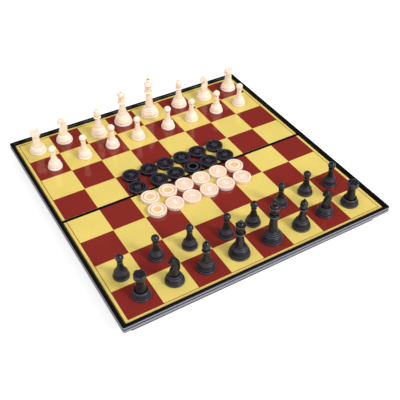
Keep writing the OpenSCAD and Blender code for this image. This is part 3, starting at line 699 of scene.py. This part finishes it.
def case_half(s, outer_lip, first_knuckle):
    """The far half: rim, deck with its bare strip, storage walls, ribs, gussets and knuckles."""
    half, start = CASE_HIGH[0], s.seam / 2
    pins = [((low + high) / 2, (high - low) / 2 + PIN_END_GAP) for low, high in hinge_pins()]
    section, tone = rim_section(s)
    rim = carried(section, lambda inset: three_sides(half, s.rim_corner, start, inset), tone)
    body = half - s.overhang
    wall = carried(storage_wall(s, outer_lip), lambda inset: three_sides(body, s.wall_corner, start, inset))
    edge = half - s.rim_span + 0.6
    deck = block((-edge, start, DECK_TOP - s.deck), (edge, edge, DECK_TOP), 0.1)
    strip = block((-edge, start, DECK_TOP - 0.1), (edge, start + s.strip, PANEL_Z - 0.1), 0.12)
    inside = body - s.wall
    square = (corners("far_red_print")[1][0] - s.line / 2) / 4
    return joined([rim, deck, strip, wall] + middle_wall(s, pins, inside - s.lip_gap)
                  + knuckles(s, pins, first_knuckle) + under_ribs(s, square, inside + 0.01))


def hinge_pins():
    """Where each hinge pin begins and ends along X."""
    x = node_points("hinge_pins")[:, 0]
    return [(x[side].min(), x[side].max()) for side in (x < 0, x > 0)]


# The men

MAGNETS = {"king": "king_magnet", "queen": "queen_magnet", "bishops": "bishop_magnets",
           "knights": "knight_magnets", "rooks": "rook_magnets", "pawns": "pawn_magnets"}
PADS = {kind: name.replace("magnet", "pad") for kind, name in MAGNETS.items()}
MAN_LIMIT = 20         # More than a man's radius, less than the distance of the next man's edge


def man_size(kind):
    """Base radius and height of one kind of man, from the points of its CAD node round one magnet."""
    node, seat = "black_" + kind, seats("black_" + MAGNETS[kind], MAN_REACH)[0]
    return radius_on(node, seat, MAN_LIMIT), node_points(node)[:, 2].max() - MAN_Z


def underside(kind):
    """Stepped hollow under a man, from the axis out, that its magnet and its felt pad fill."""
    magnet, pad = "black_" + MAGNETS[kind], "black_" + PADS[kind]
    seat = seats(magnet, MAN_REACH)[0]
    magnet_r, pad_r = (radius_on(node, seat, MAN_LIMIT) + SEAT_GAP for node in (magnet, pad))
    step, roof = (node_points(node)[:, 2].max() - MAN_Z for node in (pad, magnet))
    roof += SEAT_GAP
    return [[0, roof], [magnet_r, roof], [magnet_r, step], [pad_r, step], [pad_r, 0]]


def bead(r, z, size):
    """Half-round ring that stands out from radius r and starts at the height z."""
    return arc((r, z + size), size, -90, 90, 8)


def base(s, r, top_r, top_z, rings, step, belly=2.0):
    """Foot ring, groove, bell that swells up to the height belly above the foot and then draws in to the radius
    top_r at top_z, and a stack of rings on it, each one step smaller in radius than the one below."""
    neck, low = r - s.groove, s.foot + belly
    made = [bend((r - 0.9, 0), (r, 0), (r, 0.9), 5),
            bend((r, s.foot - 1), (r, s.foot), (r - 1, s.foot), 6),
            bend((neck, s.foot + 0.1), (neck - 0.2, s.foot + 0.4), (neck, s.foot + 0.7), 4),
            bend((r - 1.7, s.foot + 0.75), (r - 0.6, s.foot + 0.9), (r - 0.8, low), 8),
            bend((r - 0.8, low), (r - 1.5, low + 0.45 * (top_z - low)), (top_r, top_z), 14)]
    edge, z = top_r - 0.2, top_z
    for k in range(rings):
        size = s.bead * r / 13 * (1 - 0.08 * k)
        made += [[[edge - size - 0.35, z + 0.05]], bead(edge - size, z + 0.15, size)]
        edge, z = edge - step, z + 2 * size + 0.1
    return chain(*made, [[edge - 0.2, z + 0.1]])


def column(first, low, last, high, pull):
    """Column drawn in from the radius first at low to last at high; pull is how far up it does most of that."""
    return bend((first, low), (last + 0.1, low + pull), (last, high), 16)


def collar(r, z, size, column_r):
    """Rounded disc at the height z with its edge at radius r, and a smaller step on top of it."""
    return chain([[column_r + 0.5, z - size - 0.35]], arc((r - size, z), size, -78, 78, 10),
                 [[column_r + 0.9, z + size + 0.15]],
                 bend((column_r + 0.9, z + size + 0.5), (column_r + 0.9, z + size + 1),
                      (column_r + 0.1, z + size + 1.3), 4))


def hollowness(profile, reach=1.7, full=0.45):
    """How far each point of a profile lies back from the mean of the points within reach along it, or, below
    zero, stands out from it. It is measured across the profile, as a share of what counts as full."""
    steps = np.linalg.norm(np.diff(profile, axis=0), axis=1)
    along = np.append(0, np.cumsum(steps))
    weight = np.exp(-((along[:, None] - along[None, :]) / reach) ** 2) * (np.gradient(along) + 1e-6)
    mean = weight @ profile / weight.sum(1)[:, None]
    run = np.gradient(profile, axis=0)
    outward = np.stack([run[:, 1], -run[:, 0]], 1) / np.maximum(np.linalg.norm(run, axis=1)[:, None], 1e-9)
    return np.clip(((mean - profile) * outward).sum(1) / full, -1, 1)


def turned(kind, outline, turns=72, warp=None, angles=None):
    """A turned man: its outline above the hollow underside, softened once, as a surface of revolution."""
    profile = softened(chain(underside(kind), outline), limit=0.12)
    # Painted shade in the grooves and painted highlights on the rings come from the tone, how far each point lies
    # in a hollow.
    return revolve(profile, turns, warp, angles=angles, tone=hollowness(profile))


def plate(outline, levels):
    """Closed slab over a counter-clockwise outline: at each level, given as (height, inset), the outline is
    drawn in along the bisectors of its corners."""
    outline = np.asarray(outline, float)
    before, after = outline - np.roll(outline, 1, 0), np.roll(outline, -1, 0) - outline
    normals = [np.stack([e[:, 1], -e[:, 0]], 1) / np.linalg.norm(e, axis=1)[:, None] for e in (before, after)]
    bisector = normals[0] + normals[1]
    bisector /= np.maximum((bisector * normals[0]).sum(1), 0.4)[:, None]
    return tube(np.stack([np.column_stack([outline - bisector * inset, np.full(len(outline), height)])
                          for height, inset in levels]))


def lens(centre, radii, rows=10, columns=20):
    """Ellipsoid: cos(u) cos(v), cos(u) sin(v) and sin(u), stretched by its radii."""
    u = np.linspace(-np.pi / 2, np.pi / 2, rows)
    ball = revolve(np.stack([np.cos(u), np.sin(u)], 1), columns)
    return Surface(ball.points * np.array(radii) + np.array(centre), ball.faces)


def king(s):
    """King: domed crown inside a flared rim, and a cross with flared arms on it."""
    r, h = man_size("king")
    waist, brow = h - 23.5, h - 11.4
    outline = chain(
        base(s, r, 10.2, s.base - 6.4, 3, 1.6), column(6.1, s.base + 0.2, 4.4, waist - 2, 12),
        collar(6.7, waist, 1.2, 4.2),
        bend((4.2, waist + 3.4), (4.7, brow - 3.2), (6.3, brow - 0.5), 12),
        bend((6.3, brow - 0.5), (6.5, brow + 0.7), (5.7, brow + 0.8), 5), [[5.2, brow + 0.4]],
        bend((4.9, brow + 0.6), (4.6, brow + 3.2), (1.7, brow + 3.7), 9),
        bend((1.5, brow + 3.8), (1.45, brow + 4.8), (0, brow + 4.9), 5))
    arm = np.array([[0.62, -0.6], [1.35, -2.6], [0, -2.75]])
    arm = chain(arm[:2], bend(arm[1], (0, -2.45), arm[1] * [-1, 1], 4), arm[:1] * [-1, 1])
    ways = [np.array([[np.cos(a), -np.sin(a)], [np.sin(a), np.cos(a)]]) for a in np.radians([0, 90, 180, 270])]
    cross = chain(*[arm @ way.T * [1, 1.1 if k else 1.5] for k, way in enumerate(ways)])
    slab = plate(cross, [(-1, 0.3), (-0.7, 0), (0.7, 0), (1, 0.3)])
    upright = slab.laid((0, 2, 1))
    upright.faces = inside_out(upright.faces)
    return joined([turned("king", outline, 84), upright.placed((0, 0, h - 2.95))])


def queen(s):
    """Queen: a coronet with nine points round a dome with a ball."""
    r, h = man_size("queen")
    waist, brow, points = h - 19.6, h - 6.8, 9
    outline = chain(
        base(s, r, 9.4, s.base - 4.4, 2, 1.6), column(6.5, s.base + 0.2, 4.0, waist - 2, 9.5),
        collar(6.5, waist, 1.2, 4),
        bend((4.4, waist + 3.4), (4.8, brow - 3.2), (6.4, brow - 0.2), 16), [[6.1, brow + 0.3], [5.5, brow + 0.2]],
        bend((5.2, brow - 0.6), (4.8, brow - 1.2), (4.5, brow - 1.3), 3),
        bend((4.4, brow - 1.2), (3.6, brow + 2.6), (1, brow + 3.3), 9), arc((0, h - 1.7), 1.7, -52, 90, 10))

    def scallops(radius, z, a):
        """Lowers the coronet between its points: by 1 - |cos| of half the count of points times the angle."""
        cut = s.scallop * (1 - np.abs(np.cos(a * points / 2))) ** 0.7
        near_rim = np.clip((z - brow + 2.4) / 2.4, 0, 1) * (radius > 4.6) * (z > waist + 5)
        return radius - 0.25 * near_rim * cut, z - near_rim * cut, a
    return turned("queen", outline, points * 16, scallops)


def bishop(s):
    """Bishop: a pointed mitre with its slanting slot, and a ball on top."""
    r, h = man_size("bishops")
    waist, brow = h - 15.6, h - 9.2
    slant = np.radians(32)
    cut_z, cut_x, half = h - 8.6, -1.0, s.slot / 2 / np.cos(slant)
    mitre = chain(bend((3.2, waist + 2.6), (4.9, waist + 3.2), (4.7, brow), 16),
                  bend((4.7, brow), (4.6, brow + 5), (0.9, h - 2.4), 26))
    rows = np.sort(np.concatenate([mitre[:, 1], cut_z + np.array([-half, -half + 0.02, half - 0.02, half])]))
    radii = np.interp(rows, mitre[:, 1], mitre[:, 0])
    lower = chain(base(s, r, 8.4, s.base - 5.4, 2, 1.5), column(5.7, s.base - 1, 3.2, waist - 1.6, 8),
                  collar(5.2, waist, 0.9, 3))
    outline = chain(lower, np.stack([radii, rows], 1), arc((0, h - 1.3), 1.3, -48, 90, 9))

    def slot(radius, z, a):
        """Tilts the rows of the mitre until they lie along the slot, then clears the slot down to its floor."""
        tilt = np.clip(1 - np.abs(z - cut_z) / 5.2, 0, 1) ** 0.6 * (z > waist + 2.7) * (z < h - 2.5)
        in_slot = (np.abs(z - cut_z) < half - 0.01) & (z > waist)
        level = z - tilt * np.tan(slant) * (radius * np.cos(a) - cut_x)
        radius = np.where(tilt > 0, np.interp(level, rows, radii), radius)
        x, y = radius * np.cos(a), radius * np.sin(a)
        x = np.where(in_slot, np.maximum(x, cut_x), x)
        return np.hypot(x, y), np.where(tilt > 0, level, z), np.arctan2(y, x)
    return turned("bishops", outline, 96, slot)


def rook(s):
    """Rook: a tower that widens to six battlements."""
    r, h = man_size("rooks")
    q = 7.1
    outline = chain(
        base(s, r, 8.9, 7.8, 1, 1.2, 1.8), column(6.7, 9.9, 4.7, h - 9.5, 5.6),
        bend((4.8, h - 9.5), (5, h - 6.6), (q - 0.3, h - 6), 8),
        bend((q - 0.3, h - 6), (q, h - 5.9), (q, h - 5.5), 3),
        [[q, h - s.notch_depth - 0.02], [q, h - 0.35]], bend((q, h - 0.35), (q, h), (q - 0.35, h), 3),
        [[q - 1.7, h], [q - 1.8, h - 0.25], [0, h - 0.25]])
    half = np.degrees(s.notch_width / 2 / (q - 1))
    lines = np.array([-half, -half + 0.4, -half / 3, half / 3, half - 0.4, half])
    pitch, first = 60, 15
    merlon = half + (pitch - 2 * half) * np.arange(1, 7) / 7
    angles = (first + pitch * np.arange(6)[:, None] + np.concatenate([lines, merlon])[None, :]).ravel()

    def notches(radius, z, a):
        """Brings the top down to the floor of a notch wherever the angle lies inside one."""
        off = np.abs((np.degrees(a) - first + pitch / 2) % pitch - pitch / 2)
        floor = h - s.notch_depth
        low = (off < half - 0.2) & (z > floor) & (radius > q - 1.71)
        return radius, np.where(low, floor + 0.01 * (z - floor), z), a
    tower = turned("rooks", outline, warp=notches, angles=angles)
    # Painted highlight: the flat top inside the battlements is made lighter.
    tower.tone[(tower.points[:, 2] > h - 0.6) & (np.hypot(*tower.points[:, :2].T) < q - 1)] = -0.2
    return tower


def pawn(s):
    """Pawn: a ball on a small collar."""
    r, h = man_size("pawns")
    ball = 4.8
    neck = h - 2 * ball - 0.6
    outline = chain(
        base(s, r, 7.9, s.low_base - 3, 3, 1.1, 1.8), column(5.2, s.low_base + 2, 3, neck - 1.6, 5.5),
        arc((2.6, neck - 0.6), 0.9, -80, 80, 8), arc((0, h - ball), ball, -56, 90, 24))
    return turned("pawns", outline, 60)


# Horse of the knight. Each station across it: x and z of its front or under edge, x and z of its back or upper
# edge, and its half thickness. They run from the foot of the neck over the throat to the nose.
HORSE = ((5.2, 9.6, -5.2, 9.6, 4.9), (5.9, 13.2, -5.6, 13.4, 4.6), (6.1, 17.0, -6.0, 18.6, 4.1),
         (4.9, 20.9, -6.0, 23.6, 3.7), (2.7, 24.2, -5.2, 28.2, 3.4), (1.4, 26.6, -3.4, 32.2, 3.3),
         (1.5, 28.4, -1.2, 35.3, 3.6), (2.5, 29.3, 1.3, 37.0, 4.1), (3.8, 29.6, 3.6, 36.7, 3.7),
         (5.0, 29.6, 5.2, 34.9, 3.0), (6.0, 29.8, 6.5, 33.1, 2.6), (6.8, 30.3, 7.3, 31.9, 2.2),
         (7.1, 30.9, 7.3, 31.4, 1.2))
HORSE_HEIGHT, HORSE_HEAD, MANE_LOCKS = 39, 8.4, 15
# Where its sides are pressed in: the middle as (x, z), how far the dent reaches each way, and its depth
HORSE_DENTS = {"mouth": ((7.2, 30.75), (2.4, 0.28), 0.4), "nostril": ((6.5, 31.9), (0.45, 0.4), 0.3),
               "eye": ((3.5, 34.4), (1.15, 0.85), 0.16), "cheek": ((0.9, 31.5), (0.5, 2.2), 0.12)}


def horse(s):
    """Head and neck: ovals across a smooth run of stations, with dents that are bell curves of the distance,
    a mane along the back, ears and eyes."""
    line = through(HORSE, 14)
    front, back = line[:, :2], line[:, 2:4]
    half = line[:, 4:5] * s.head / HORSE_HEAD
    a = around(88)[None, :, None]
    middle, reach = (front + back)[:, None] / 2, (front - back)[:, None] / 2
    side = middle + reach * np.sign(np.cos(a)) * np.abs(np.cos(a)) ** 0.9
    thick = half[:, None, :] * np.sign(np.sin(a)) * np.abs(np.sin(a)) ** 0.85
    body = tube(np.concatenate([side[..., :1], thick, side[..., 1:]], -1))
    for place, size, depth in HORSE_DENTS.values():
        off = (body.points[:, [0, 2]] - np.array(place)) / np.array(size)
        body.points[:, 1] *= 1 - depth * np.exp(-(off ** 2).sum(1))
    out = 0.4 * s.head
    eyes = [lens((3.5, side * out, 34.3), (0.85, 0.45, 0.62)) for side in (-1, 1)]
    lids = [lens((3.4, side * (out - 0.15), 34.95), (1.25, 0.62, 0.3)) for side in (-1, 1)]
    return joined([body, mane(back)] + ears() + eyes + lids)


def mane(back):
    """Ridge along the back of the neck: ovals that stand out by 1.5 mm, swelling and falling in locks that
    sweep down, and tapered at both ends."""
    path = back[12:120]
    along = np.linspace(0, 1, len(path))
    tangent = np.gradient(path, axis=0)
    tangent /= np.linalg.norm(tangent, axis=1)[:, None]
    outward = np.stack([-tangent[:, 1], tangent[:, 0]], 1)
    a = -around(36)[None, :]
    locks = (along[:, None] * MANE_LOCKS + 0.22 * np.cos(a)) % 1
    ends = np.clip(np.minimum(along * 10, (1 - along) * 8), 0.05, 1)[:, None] ** 0.6
    out = (1.45 + 0.5 * locks) * ends * np.cos(a)
    wide = (1.25 + 0.42 * locks) * ends * np.sin(a)
    plan = (path - 0.5 * outward)[:, None, :] + outward[:, None, :] * out[..., None]
    return tube(np.stack([plan[..., 0], wide, plan[..., 1]], -1))


def ears():
    """Two pricked ears: cones that lean out, hollowed in front."""
    def hollowed(r, z, a):
        """Draws the front in by a bell curve of the angle."""
        return r * (1 - 0.45 * np.exp(-((a - np.pi) / 0.9) ** 2) * (z > 0)), z, a
    rise = np.array([[0, -0.6], [1.05, -0.4], [1.15, 0.5], [0.95, 1.4], [0.6, 2.2], [0.2, 2.85], [0, 2.95]])
    cone = revolve(softened(rise, limit=1), 24, hollowed)
    made, root = [], 36.05
    for side in (-1, 1):
        points = cone.points * [-1, 0.72 * side, 1] + [1.2, side * 1.75, root]
        points[:, 1] += side * 0.12 * (points[:, 2] - root)
        points[:, 0] += 0.16 * (points[:, 2] - root)
        made.append(Surface(points, cone.faces if side < 0 else inside_out(cone.faces)))
    return made


def knight(s):
    """Knight: the horse on a low turned base."""
    r, h = man_size("knights")
    outline = chain(base(s, r, 8.8, s.low_base - 3.2, 2, 1.5, 1.8), [[0, s.low_base + 0.6]])
    head = horse(s)
    head.points[:, 2] *= h / HORSE_HEIGHT
    return joined([turned("knights", outline), head])


MEN = {"king": king, "queen": queen, "bishops": bishop, "knights": knight, "rooks": rook, "pawns": pawn}
KNIGHT_TURNS = {"black": 180, "white": 194}


# The draughts

DRAUGHT_LIMIT = 12.3   # More than a draught's radius, less than the distance of the next one's edge
DRAUGHT_TURN = 77      # Degrees from one draught to the next, so that no two crowns stand alike


def draught_size():
    """Radius r and thickness t of a draught, and the room, low and roof of the hollow for its magnet: radius,
    lowest and highest height above the draught's foot."""
    cup, magnet = "black_draught_cups", "black_draught_magnets"
    seat = seats(magnet, DRAUGHT_REACH)[0]
    points = node_points(magnet)
    disc = points[np.hypot(*(points[:, :2] - seat[:2]).T) < DRAUGHT_REACH, 2]
    low, high = node_points(cup)[:, 2].min(), node_points(cup)[:, 2].max()
    return SimpleNamespace(
        r=radius_on(cup, seat, DRAUGHT_LIMIT), t=high - low, low=disc.min() - low,
        room=radius_on(magnet, seat, DRAUGHT_REACH) + SEAT_GAP, roof=disc.max() - low + SEAT_GAP)


def crown_mark(s, floor):
    """Raised crown of four points over a band, with a ball on each point."""
    k = s.crown / 5.2
    right = np.array([[3.6, -2.5], [3.75, -1.2], [4.9, 2.3], [2.75, 0.8], [1.75, 3.4], [0, 1.2]])
    left = right[-2::-1] * [-1, 1]
    levels = [(floor - 0.1, -0.2), (floor + 0.05, -0.17), (floor + s.relief * 0.6, 0),
              (floor + s.relief * 0.8, s.relief * 0.12)]
    band = np.array([[-3.4, -4.7], [3.4, -4.7], [3.5, -3.6], [-3.5, -3.6]])
    balls = [lens((x * k, y * k, floor + 0.1), (0.78 * k, 0.78 * k, s.relief * 0.75), 8, 14)
             for x, y in ((-4.9, 2.7), (-1.8, 3.85), (1.8, 3.85), (4.9, 2.7))]
    crown = joined([plate(softened(np.concatenate([right, left]) * k, True, 0.25), levels),
                    plate(softened(band * k, True, 0.25), levels)] + balls)
    # Painted shade at the foot of the crown, and a painted highlight on the raised crown.
    crown.tone[:] = np.where(crown.points[:, 2] < floor + 0.1, 1, -0.7)
    return crown


def draught_cup(s):
    """Cup with the crown face: raised rim, thin ring and crown over the floor of the relief."""
    d = draught_size()
    r, t = d.r, d.t
    inner, floor = r - s.rim, t - s.relief
    ring, e = inner - 1.4, s.edge
    profile = chain(
        [[0, d.roof], [d.room, d.roof], [d.room, d.low], [inner, d.low], [inner, 0.2]],
        bend((inner, 0.2), (inner, 0), (inner + 0.2, 0), 3), [[inner + 0.5, 0], [r - e - 0.3, 0]],
        arc((r - e, e), e, -90, 0, 6), [[r, e + 0.4], [r, t - e - 0.4]], arc((r - e, t - e), e, 0, 90, 6),
        [[r - e - 0.3, t], [inner + 0.6, t]], bend((inner + 0.3, t), (inner, t), (inner - 0.05, t - 0.25), 4),
        bend((inner - 0.08, floor + 0.15), (inner - 0.12, floor), (inner - 0.3, floor), 4), [[inner - 0.8, floor]],
        bend((ring + 0.05, floor), (ring, floor + 0.38), (ring - 0.15, floor + 0.4), 4),
        bend((ring - s.line + 0.1, floor + 0.4), (ring - s.line, floor + 0.38), (ring - s.line - 0.05, floor), 4),
        [[ring - s.line - 0.6, floor], [0, floor]])
    radius, z = profile.T
    walls = np.abs(radius[:, None] - [inner - 0.2, ring + 0.1, ring - s.line - 0.1]).min(1)
    sunk = (np.abs(z - floor) < 0.1) & (radius < inner)
    turning = (radius > r - e - 0.01) | ((radius > inner - 0.1) & (radius < inner + 0.31))
    edges = (np.abs(z - t / 2) > t / 2 - e - 0.01) & turning
    ridge = (z > floor + 0.3) & (radius < inner - 0.5)
    # Painted shade on the sunk floor, deepest next to its walls, and painted highlights on the rounded edges and
    # on the thin ring.
    cup = revolve(profile, 72, tone=np.where(sunk, 0.35 + 0.65 * (walls < 0.45), -1.0 * edges - 0.8 * ridge))
    cup.tone[-1] = 0.35
    return joined([cup, crown_mark(s, floor)])


def draught_cap(s):
    """Cap with the ring face below: a broad ring between two sunk bands."""
    size = draught_size()
    edge = size.r - s.rim - 0.1
    outer = edge - 1.9
    inner, d = outer - s.ring, s.relief
    profile = chain(
        [[0, d]], bend((inner - 0.15, d), (inner, d), (inner + 0.02, d - 0.15), 3),
        bend((inner + 0.05, 0.15), (inner + 0.08, 0), (inner + 0.3, 0), 4),
        bend((outer - 0.3, 0), (outer - 0.08, 0), (outer - 0.05, 0.15), 4),
        bend((outer - 0.02, d - 0.15), (outer, d), (outer + 0.15, d), 3),
        [[edge, d], [edge, size.low], [0, size.low]])
    sunk = np.abs(profile[:, 1] - d) < 0.1
    # Painted shade on the sunk middle and outer band, and a painted highlight elsewhere.
    cap = revolve(profile, 72, tone=np.where(sunk, 0.9, -0.8))
    cap.tone[-2] = 0.9
    return cap


# Finishes by the material slots of the record

FINISHES = {
    "case_black": lambda f: moulded_plastic("case black", f.case, f.case_face_sheen, 0.27),
    "film_yellow": lambda f: printed_film("film yellow", f.yellow, 0.09),
    "print_red": lambda f: printed_film("print red", f.red, 0.09),
    "plate_steel": lambda f: rolled_steel("plate steel", f.steel, 0.3, (1, 12, 1)),
    "pin_steel": lambda f: rolled_steel("pin steel", f.steel, 0.22, (12, 1, 1)),
    "magnet": lambda f: ferrite("ferrite", f.ferrite),
    "felt": lambda f: felt("felt", f.felt),
    "black_men": lambda f: satin_men("black men", f.black_men, 0.34),
    "black_draughts": lambda f: satin_men("black draughts", f.black_men, 0.27),
    "white_men": lambda f: milky_men("white men", f.white_men, f.peach, 0.38, 0.25),
    # Painted shade: the draughts' ivory is darkened, as their flat tops take more light than the men's sides.
    "white_draughts": lambda f: milky_men("white draughts", shade(f.white_men, 0.87), f.peach, 0.3, 0.25),
}
made_finishes = {}


def finish(context, slot):
    """The finish of a slot, made when it is first asked for."""
    if slot not in made_finishes:
        made_finishes[slot] = FINISHES[slot](context.scene.finishes)
    return made_finishes[slot]


# Operators

class BuildCase(bpy.types.Operator):
    """Builds both halves of the case and swaps the CAD halves for them"""

    bl_idname = "chess_case.case"
    bl_label = "Case Halves"

    def execute(self, context):
        s = sizes(context, "case_sizes")
        halves = {"far": case_half(s, True, 0), "near": case_half(s, False, 1).mirrored(1)}
        for side, half in halves.items():
            make_piece(context, side + "_case", half, side + "_half", "case_black", sharp=35)
        return {"FINISHED"}


class FinishSheets(bpy.types.Operator):
    """Gives the playing films and their red print a glossy printed finish"""

    bl_idname = "chess_case.sheets"
    bl_label = "Playing Sheets"

    def execute(self, context):
        for side in ("far", "near"):
            dress(context, "film_yellow", side + "_film")
            dress(context, "print_red", side + "_red_print")
            dress(context, "plate_steel", side + "_steel_plate")
        return {"FINISHED"}


class FinishHardware(bpy.types.Operator):
    """Finishes the hinge pins, and the magnets and felt pads under the men and in the draughts"""

    bl_idname = "chess_case.hardware"
    bl_label = "Pins, Magnets and Pads"

    def execute(self, context):
        dress(context, "pin_steel", "hinge_pins")
        for name in COLOURS:
            dress(context, "magnet", *(f"{name}_{magnet}" for magnet in ("draught_magnets", *MAGNETS.values())))
            dress(context, "felt", *(f"{name}_{pad}" for pad in PADS.values()))
        return {"FINISHED"}


class MenBuilder:
    """Stands a copy of one kind of man over each of its magnets, in both colours."""

    def execute(self, context):
        man = MEN[self.kind](sizes(context, "men_sizes"))
        for name in COLOURS:
            turn = KNIGHT_TURNS[name] if self.kind == "knights" else 0
            node, places = f"{name}_{self.kind}", seats(f"{name}_{MAGNETS[self.kind]}", MAN_REACH)
            men = joined([man.placed((x, y, MAN_Z), turn) for x, y, _ in places])
            make_piece(context, node, men, node + "_set", name + "_men")
        return {"FINISHED"}


def men_operator(kind, label, text):
    """Operator class for one kind of man."""
    return type("Build" + label, (MenBuilder, bpy.types.Operator),
                {"__doc__": text, "bl_idname": "chess_case." + label.lower(), "bl_label": label, "kind": kind})


BuildKings = men_operator("king", "Kings", "Builds both kings with their crosses")
BuildQueens = men_operator("queen", "Queens", "Builds both queens with their coronets")
BuildBishops = men_operator("bishops", "Bishops", "Builds the bishops with their slotted mitres")
BuildKnights = men_operator("knights", "Knights", "Builds the knights' horses on their bases")
BuildRooks = men_operator("rooks", "Rooks", "Builds the rooks with their battlements")
BuildPawns = men_operator("pawns", "Pawns", "Builds the pawns")


class BuildDraughts(bpy.types.Operator):
    """Lays a cup and a cap over each draught's magnet, upside down where the magnet lies high"""

    bl_idname = "chess_case.draughts"
    bl_label = "Draughts"

    def execute(self, context):
        s = sizes(context, "draught_sizes")
        parts = {"cups": draught_cup(s), "caps": draught_cap(s)}
        thick = draught_size().t
        for name in COLOURS:
            low = corners(name + "_draught_cups")[0][2]
            places = seats(name + "_draught_magnets", DRAUGHT_REACH)
            for part, shape in parts.items():
                copies = []
                for k, (x, y, z) in enumerate(places):
                    over = z - low > thick / 2
                    copies.append(shape.placed((x, y, low + thick * over), DRAUGHT_TURN * k, over))
                body = name + "_draughts"
                make_piece(context, f"{name}_draught_{part}", joined(copies), body, body, sharp=50)
        return {"FINISHED"}


class SetStage(bpy.types.Operator):
    """Sets the white floor and background, the lamps and the camera"""

    bl_idname = "chess_case.stage"
    bl_label = "Stage"

    def execute(self, context):
        white_floor()
        white_world(context.scene)
        for name, setting in LAMPS.items():
            lamp(name, *setting)
        photo_camera(context.scene)
        return {"FINISHED"}


# Stage

TABLE_HALF, TABLE_Z = 4.0, -1e-4
LAMPS = {"Right": ((1.2, -2.3, 2.0), 0.9, 68), "Left": ((-2.6, -0.4, 2.2), 0.8, 14)}
CAMERA_PLACE, CAMERA_AIM, CAMERA_LENS = (-0.3205, -0.5724, 0.5696), (0.3767, 0.6396, -0.67), 58.55


def white_floor():
    """White table top under the case, wide enough to fill every view."""
    paint = Paint("white table", Base_Color=(0.5, 0.5, 0.5, 1), Roughness=0.9, IOR=1.2,
                  Emission_Color=(1, 1, 1, 1), Emission_Strength=0.68)
    mesh = bpy.data.meshes.new("table top")
    mesh.from_pydata([(x * TABLE_HALF, y * TABLE_HALF, TABLE_Z) for x, y in ((-1, -1), (1, -1), (1, 1), (-1, 1))],
                     [], [(0, 1, 2, 3)])
    mesh.materials.append(paint.material)
    add_object("table top", mesh)


def white_world(scene):
    """White where it is looked at. As a light it is dimmer, and what is mirrored sees a tent with an open top:
    white round the horizon and dark overhead."""
    world = scene.world or bpy.data.worlds.new("white")
    scene.world = world
    world.use_nodes = True
    nodes = Nodes(world.node_tree)
    nodes.tree.nodes.clear()
    camera, through_glass, glossy = (nodes.node("LightPath", output=f"Is {kind} Ray")
                                     for kind in ("Camera", "Transmission", "Glossy"))
    place = nodes.node("TexCoord", output="Generated")
    height = nodes.node("SeparateXYZ", {}, {0: place}, "Z")
    tent = nodes.span(height, 0.05, 0.4, 0.2, 0.03)
    seen = camera.math("MAXIMUM", camera, through_glass)
    shown = nodes.node("Mix", {}, {0: glossy, 2: nodes.span(seen, 0, 1, 0.8, 1.0), 3: tent})
    light = nodes.node("Background", {}, {"Color": (1, 1, 1, 1), "Strength": shown})
    nodes.feed(nodes.tree.nodes.new("ShaderNodeOutputWorld"), {"Surface": light})


def lamp(name, place, size, power):
    """Square soft lamp that points at the middle of the board."""
    light = bpy.data.lights.new(name, "AREA")
    light.shape, light.size, light.energy = "SQUARE", size, power
    holder = add_object(name, light)
    holder.location = place
    holder.rotation_euler = (-Vector(place)).to_track_quat("-Z", "Y").to_euler()


def photo_camera(scene):
    """Camera of the photograph: its place, its direction and its focal length on a 36 mm sensor."""
    camera = bpy.data.cameras.new("Camera")
    camera.lens, camera.sensor_width = CAMERA_LENS, 36
    holder = add_object("Camera", camera)
    holder.location = CAMERA_PLACE
    holder.rotation_euler = Vector(CAMERA_AIM).to_track_quat("-Z", "Y").to_euler()
    scene.camera = holder


class CasePanel(bpy.types.Panel):
    """Sizes, finishes and the build steps of the chess case"""

    bl_idname = "VIEW3D_PT_chess_case"
    bl_label = "Chess Case"
    bl_space_type = "VIEW_3D"
    bl_region_type = "UI"
    bl_category = "Chess Case"

    def draw(self, context):
        for step in STEPS:
            self.layout.operator(step.bl_idname)
        for group, kind in GROUPS.items():
            box = self.layout.box()
            for key in kind.__annotations__:
                box.prop(getattr(context.scene, group), key)


STEPS = (BuildCase, FinishSheets, FinishHardware, BuildKings, BuildQueens, BuildBishops, BuildKnights, BuildRooks,
         BuildPawns, BuildDraughts, SetStage)


def register():
    for kind in (*GROUPS.values(), *STEPS, CasePanel):
        bpy.utils.register_class(kind)
    for group, kind in GROUPS.items():
        setattr(bpy.types.Scene, group, bpy.props.PointerProperty(type=kind))


def unregister():
    for group in GROUPS:
        delattr(bpy.types.Scene, group)
    for kind in (CasePanel, *reversed(STEPS), *reversed(tuple(GROUPS.values()))):
        bpy.utils.unregister_class(kind)


def main():
    """Registers the classes, runs the build steps in order and writes the object's size."""
    register()
    for step in STEPS:
        family, name = step.bl_idname.split(".")
        getattr(getattr(bpy.ops, family), name)()
    bpy.context.scene.view_settings.view_transform = "Standard"


if __name__ == "__main__":
    main()
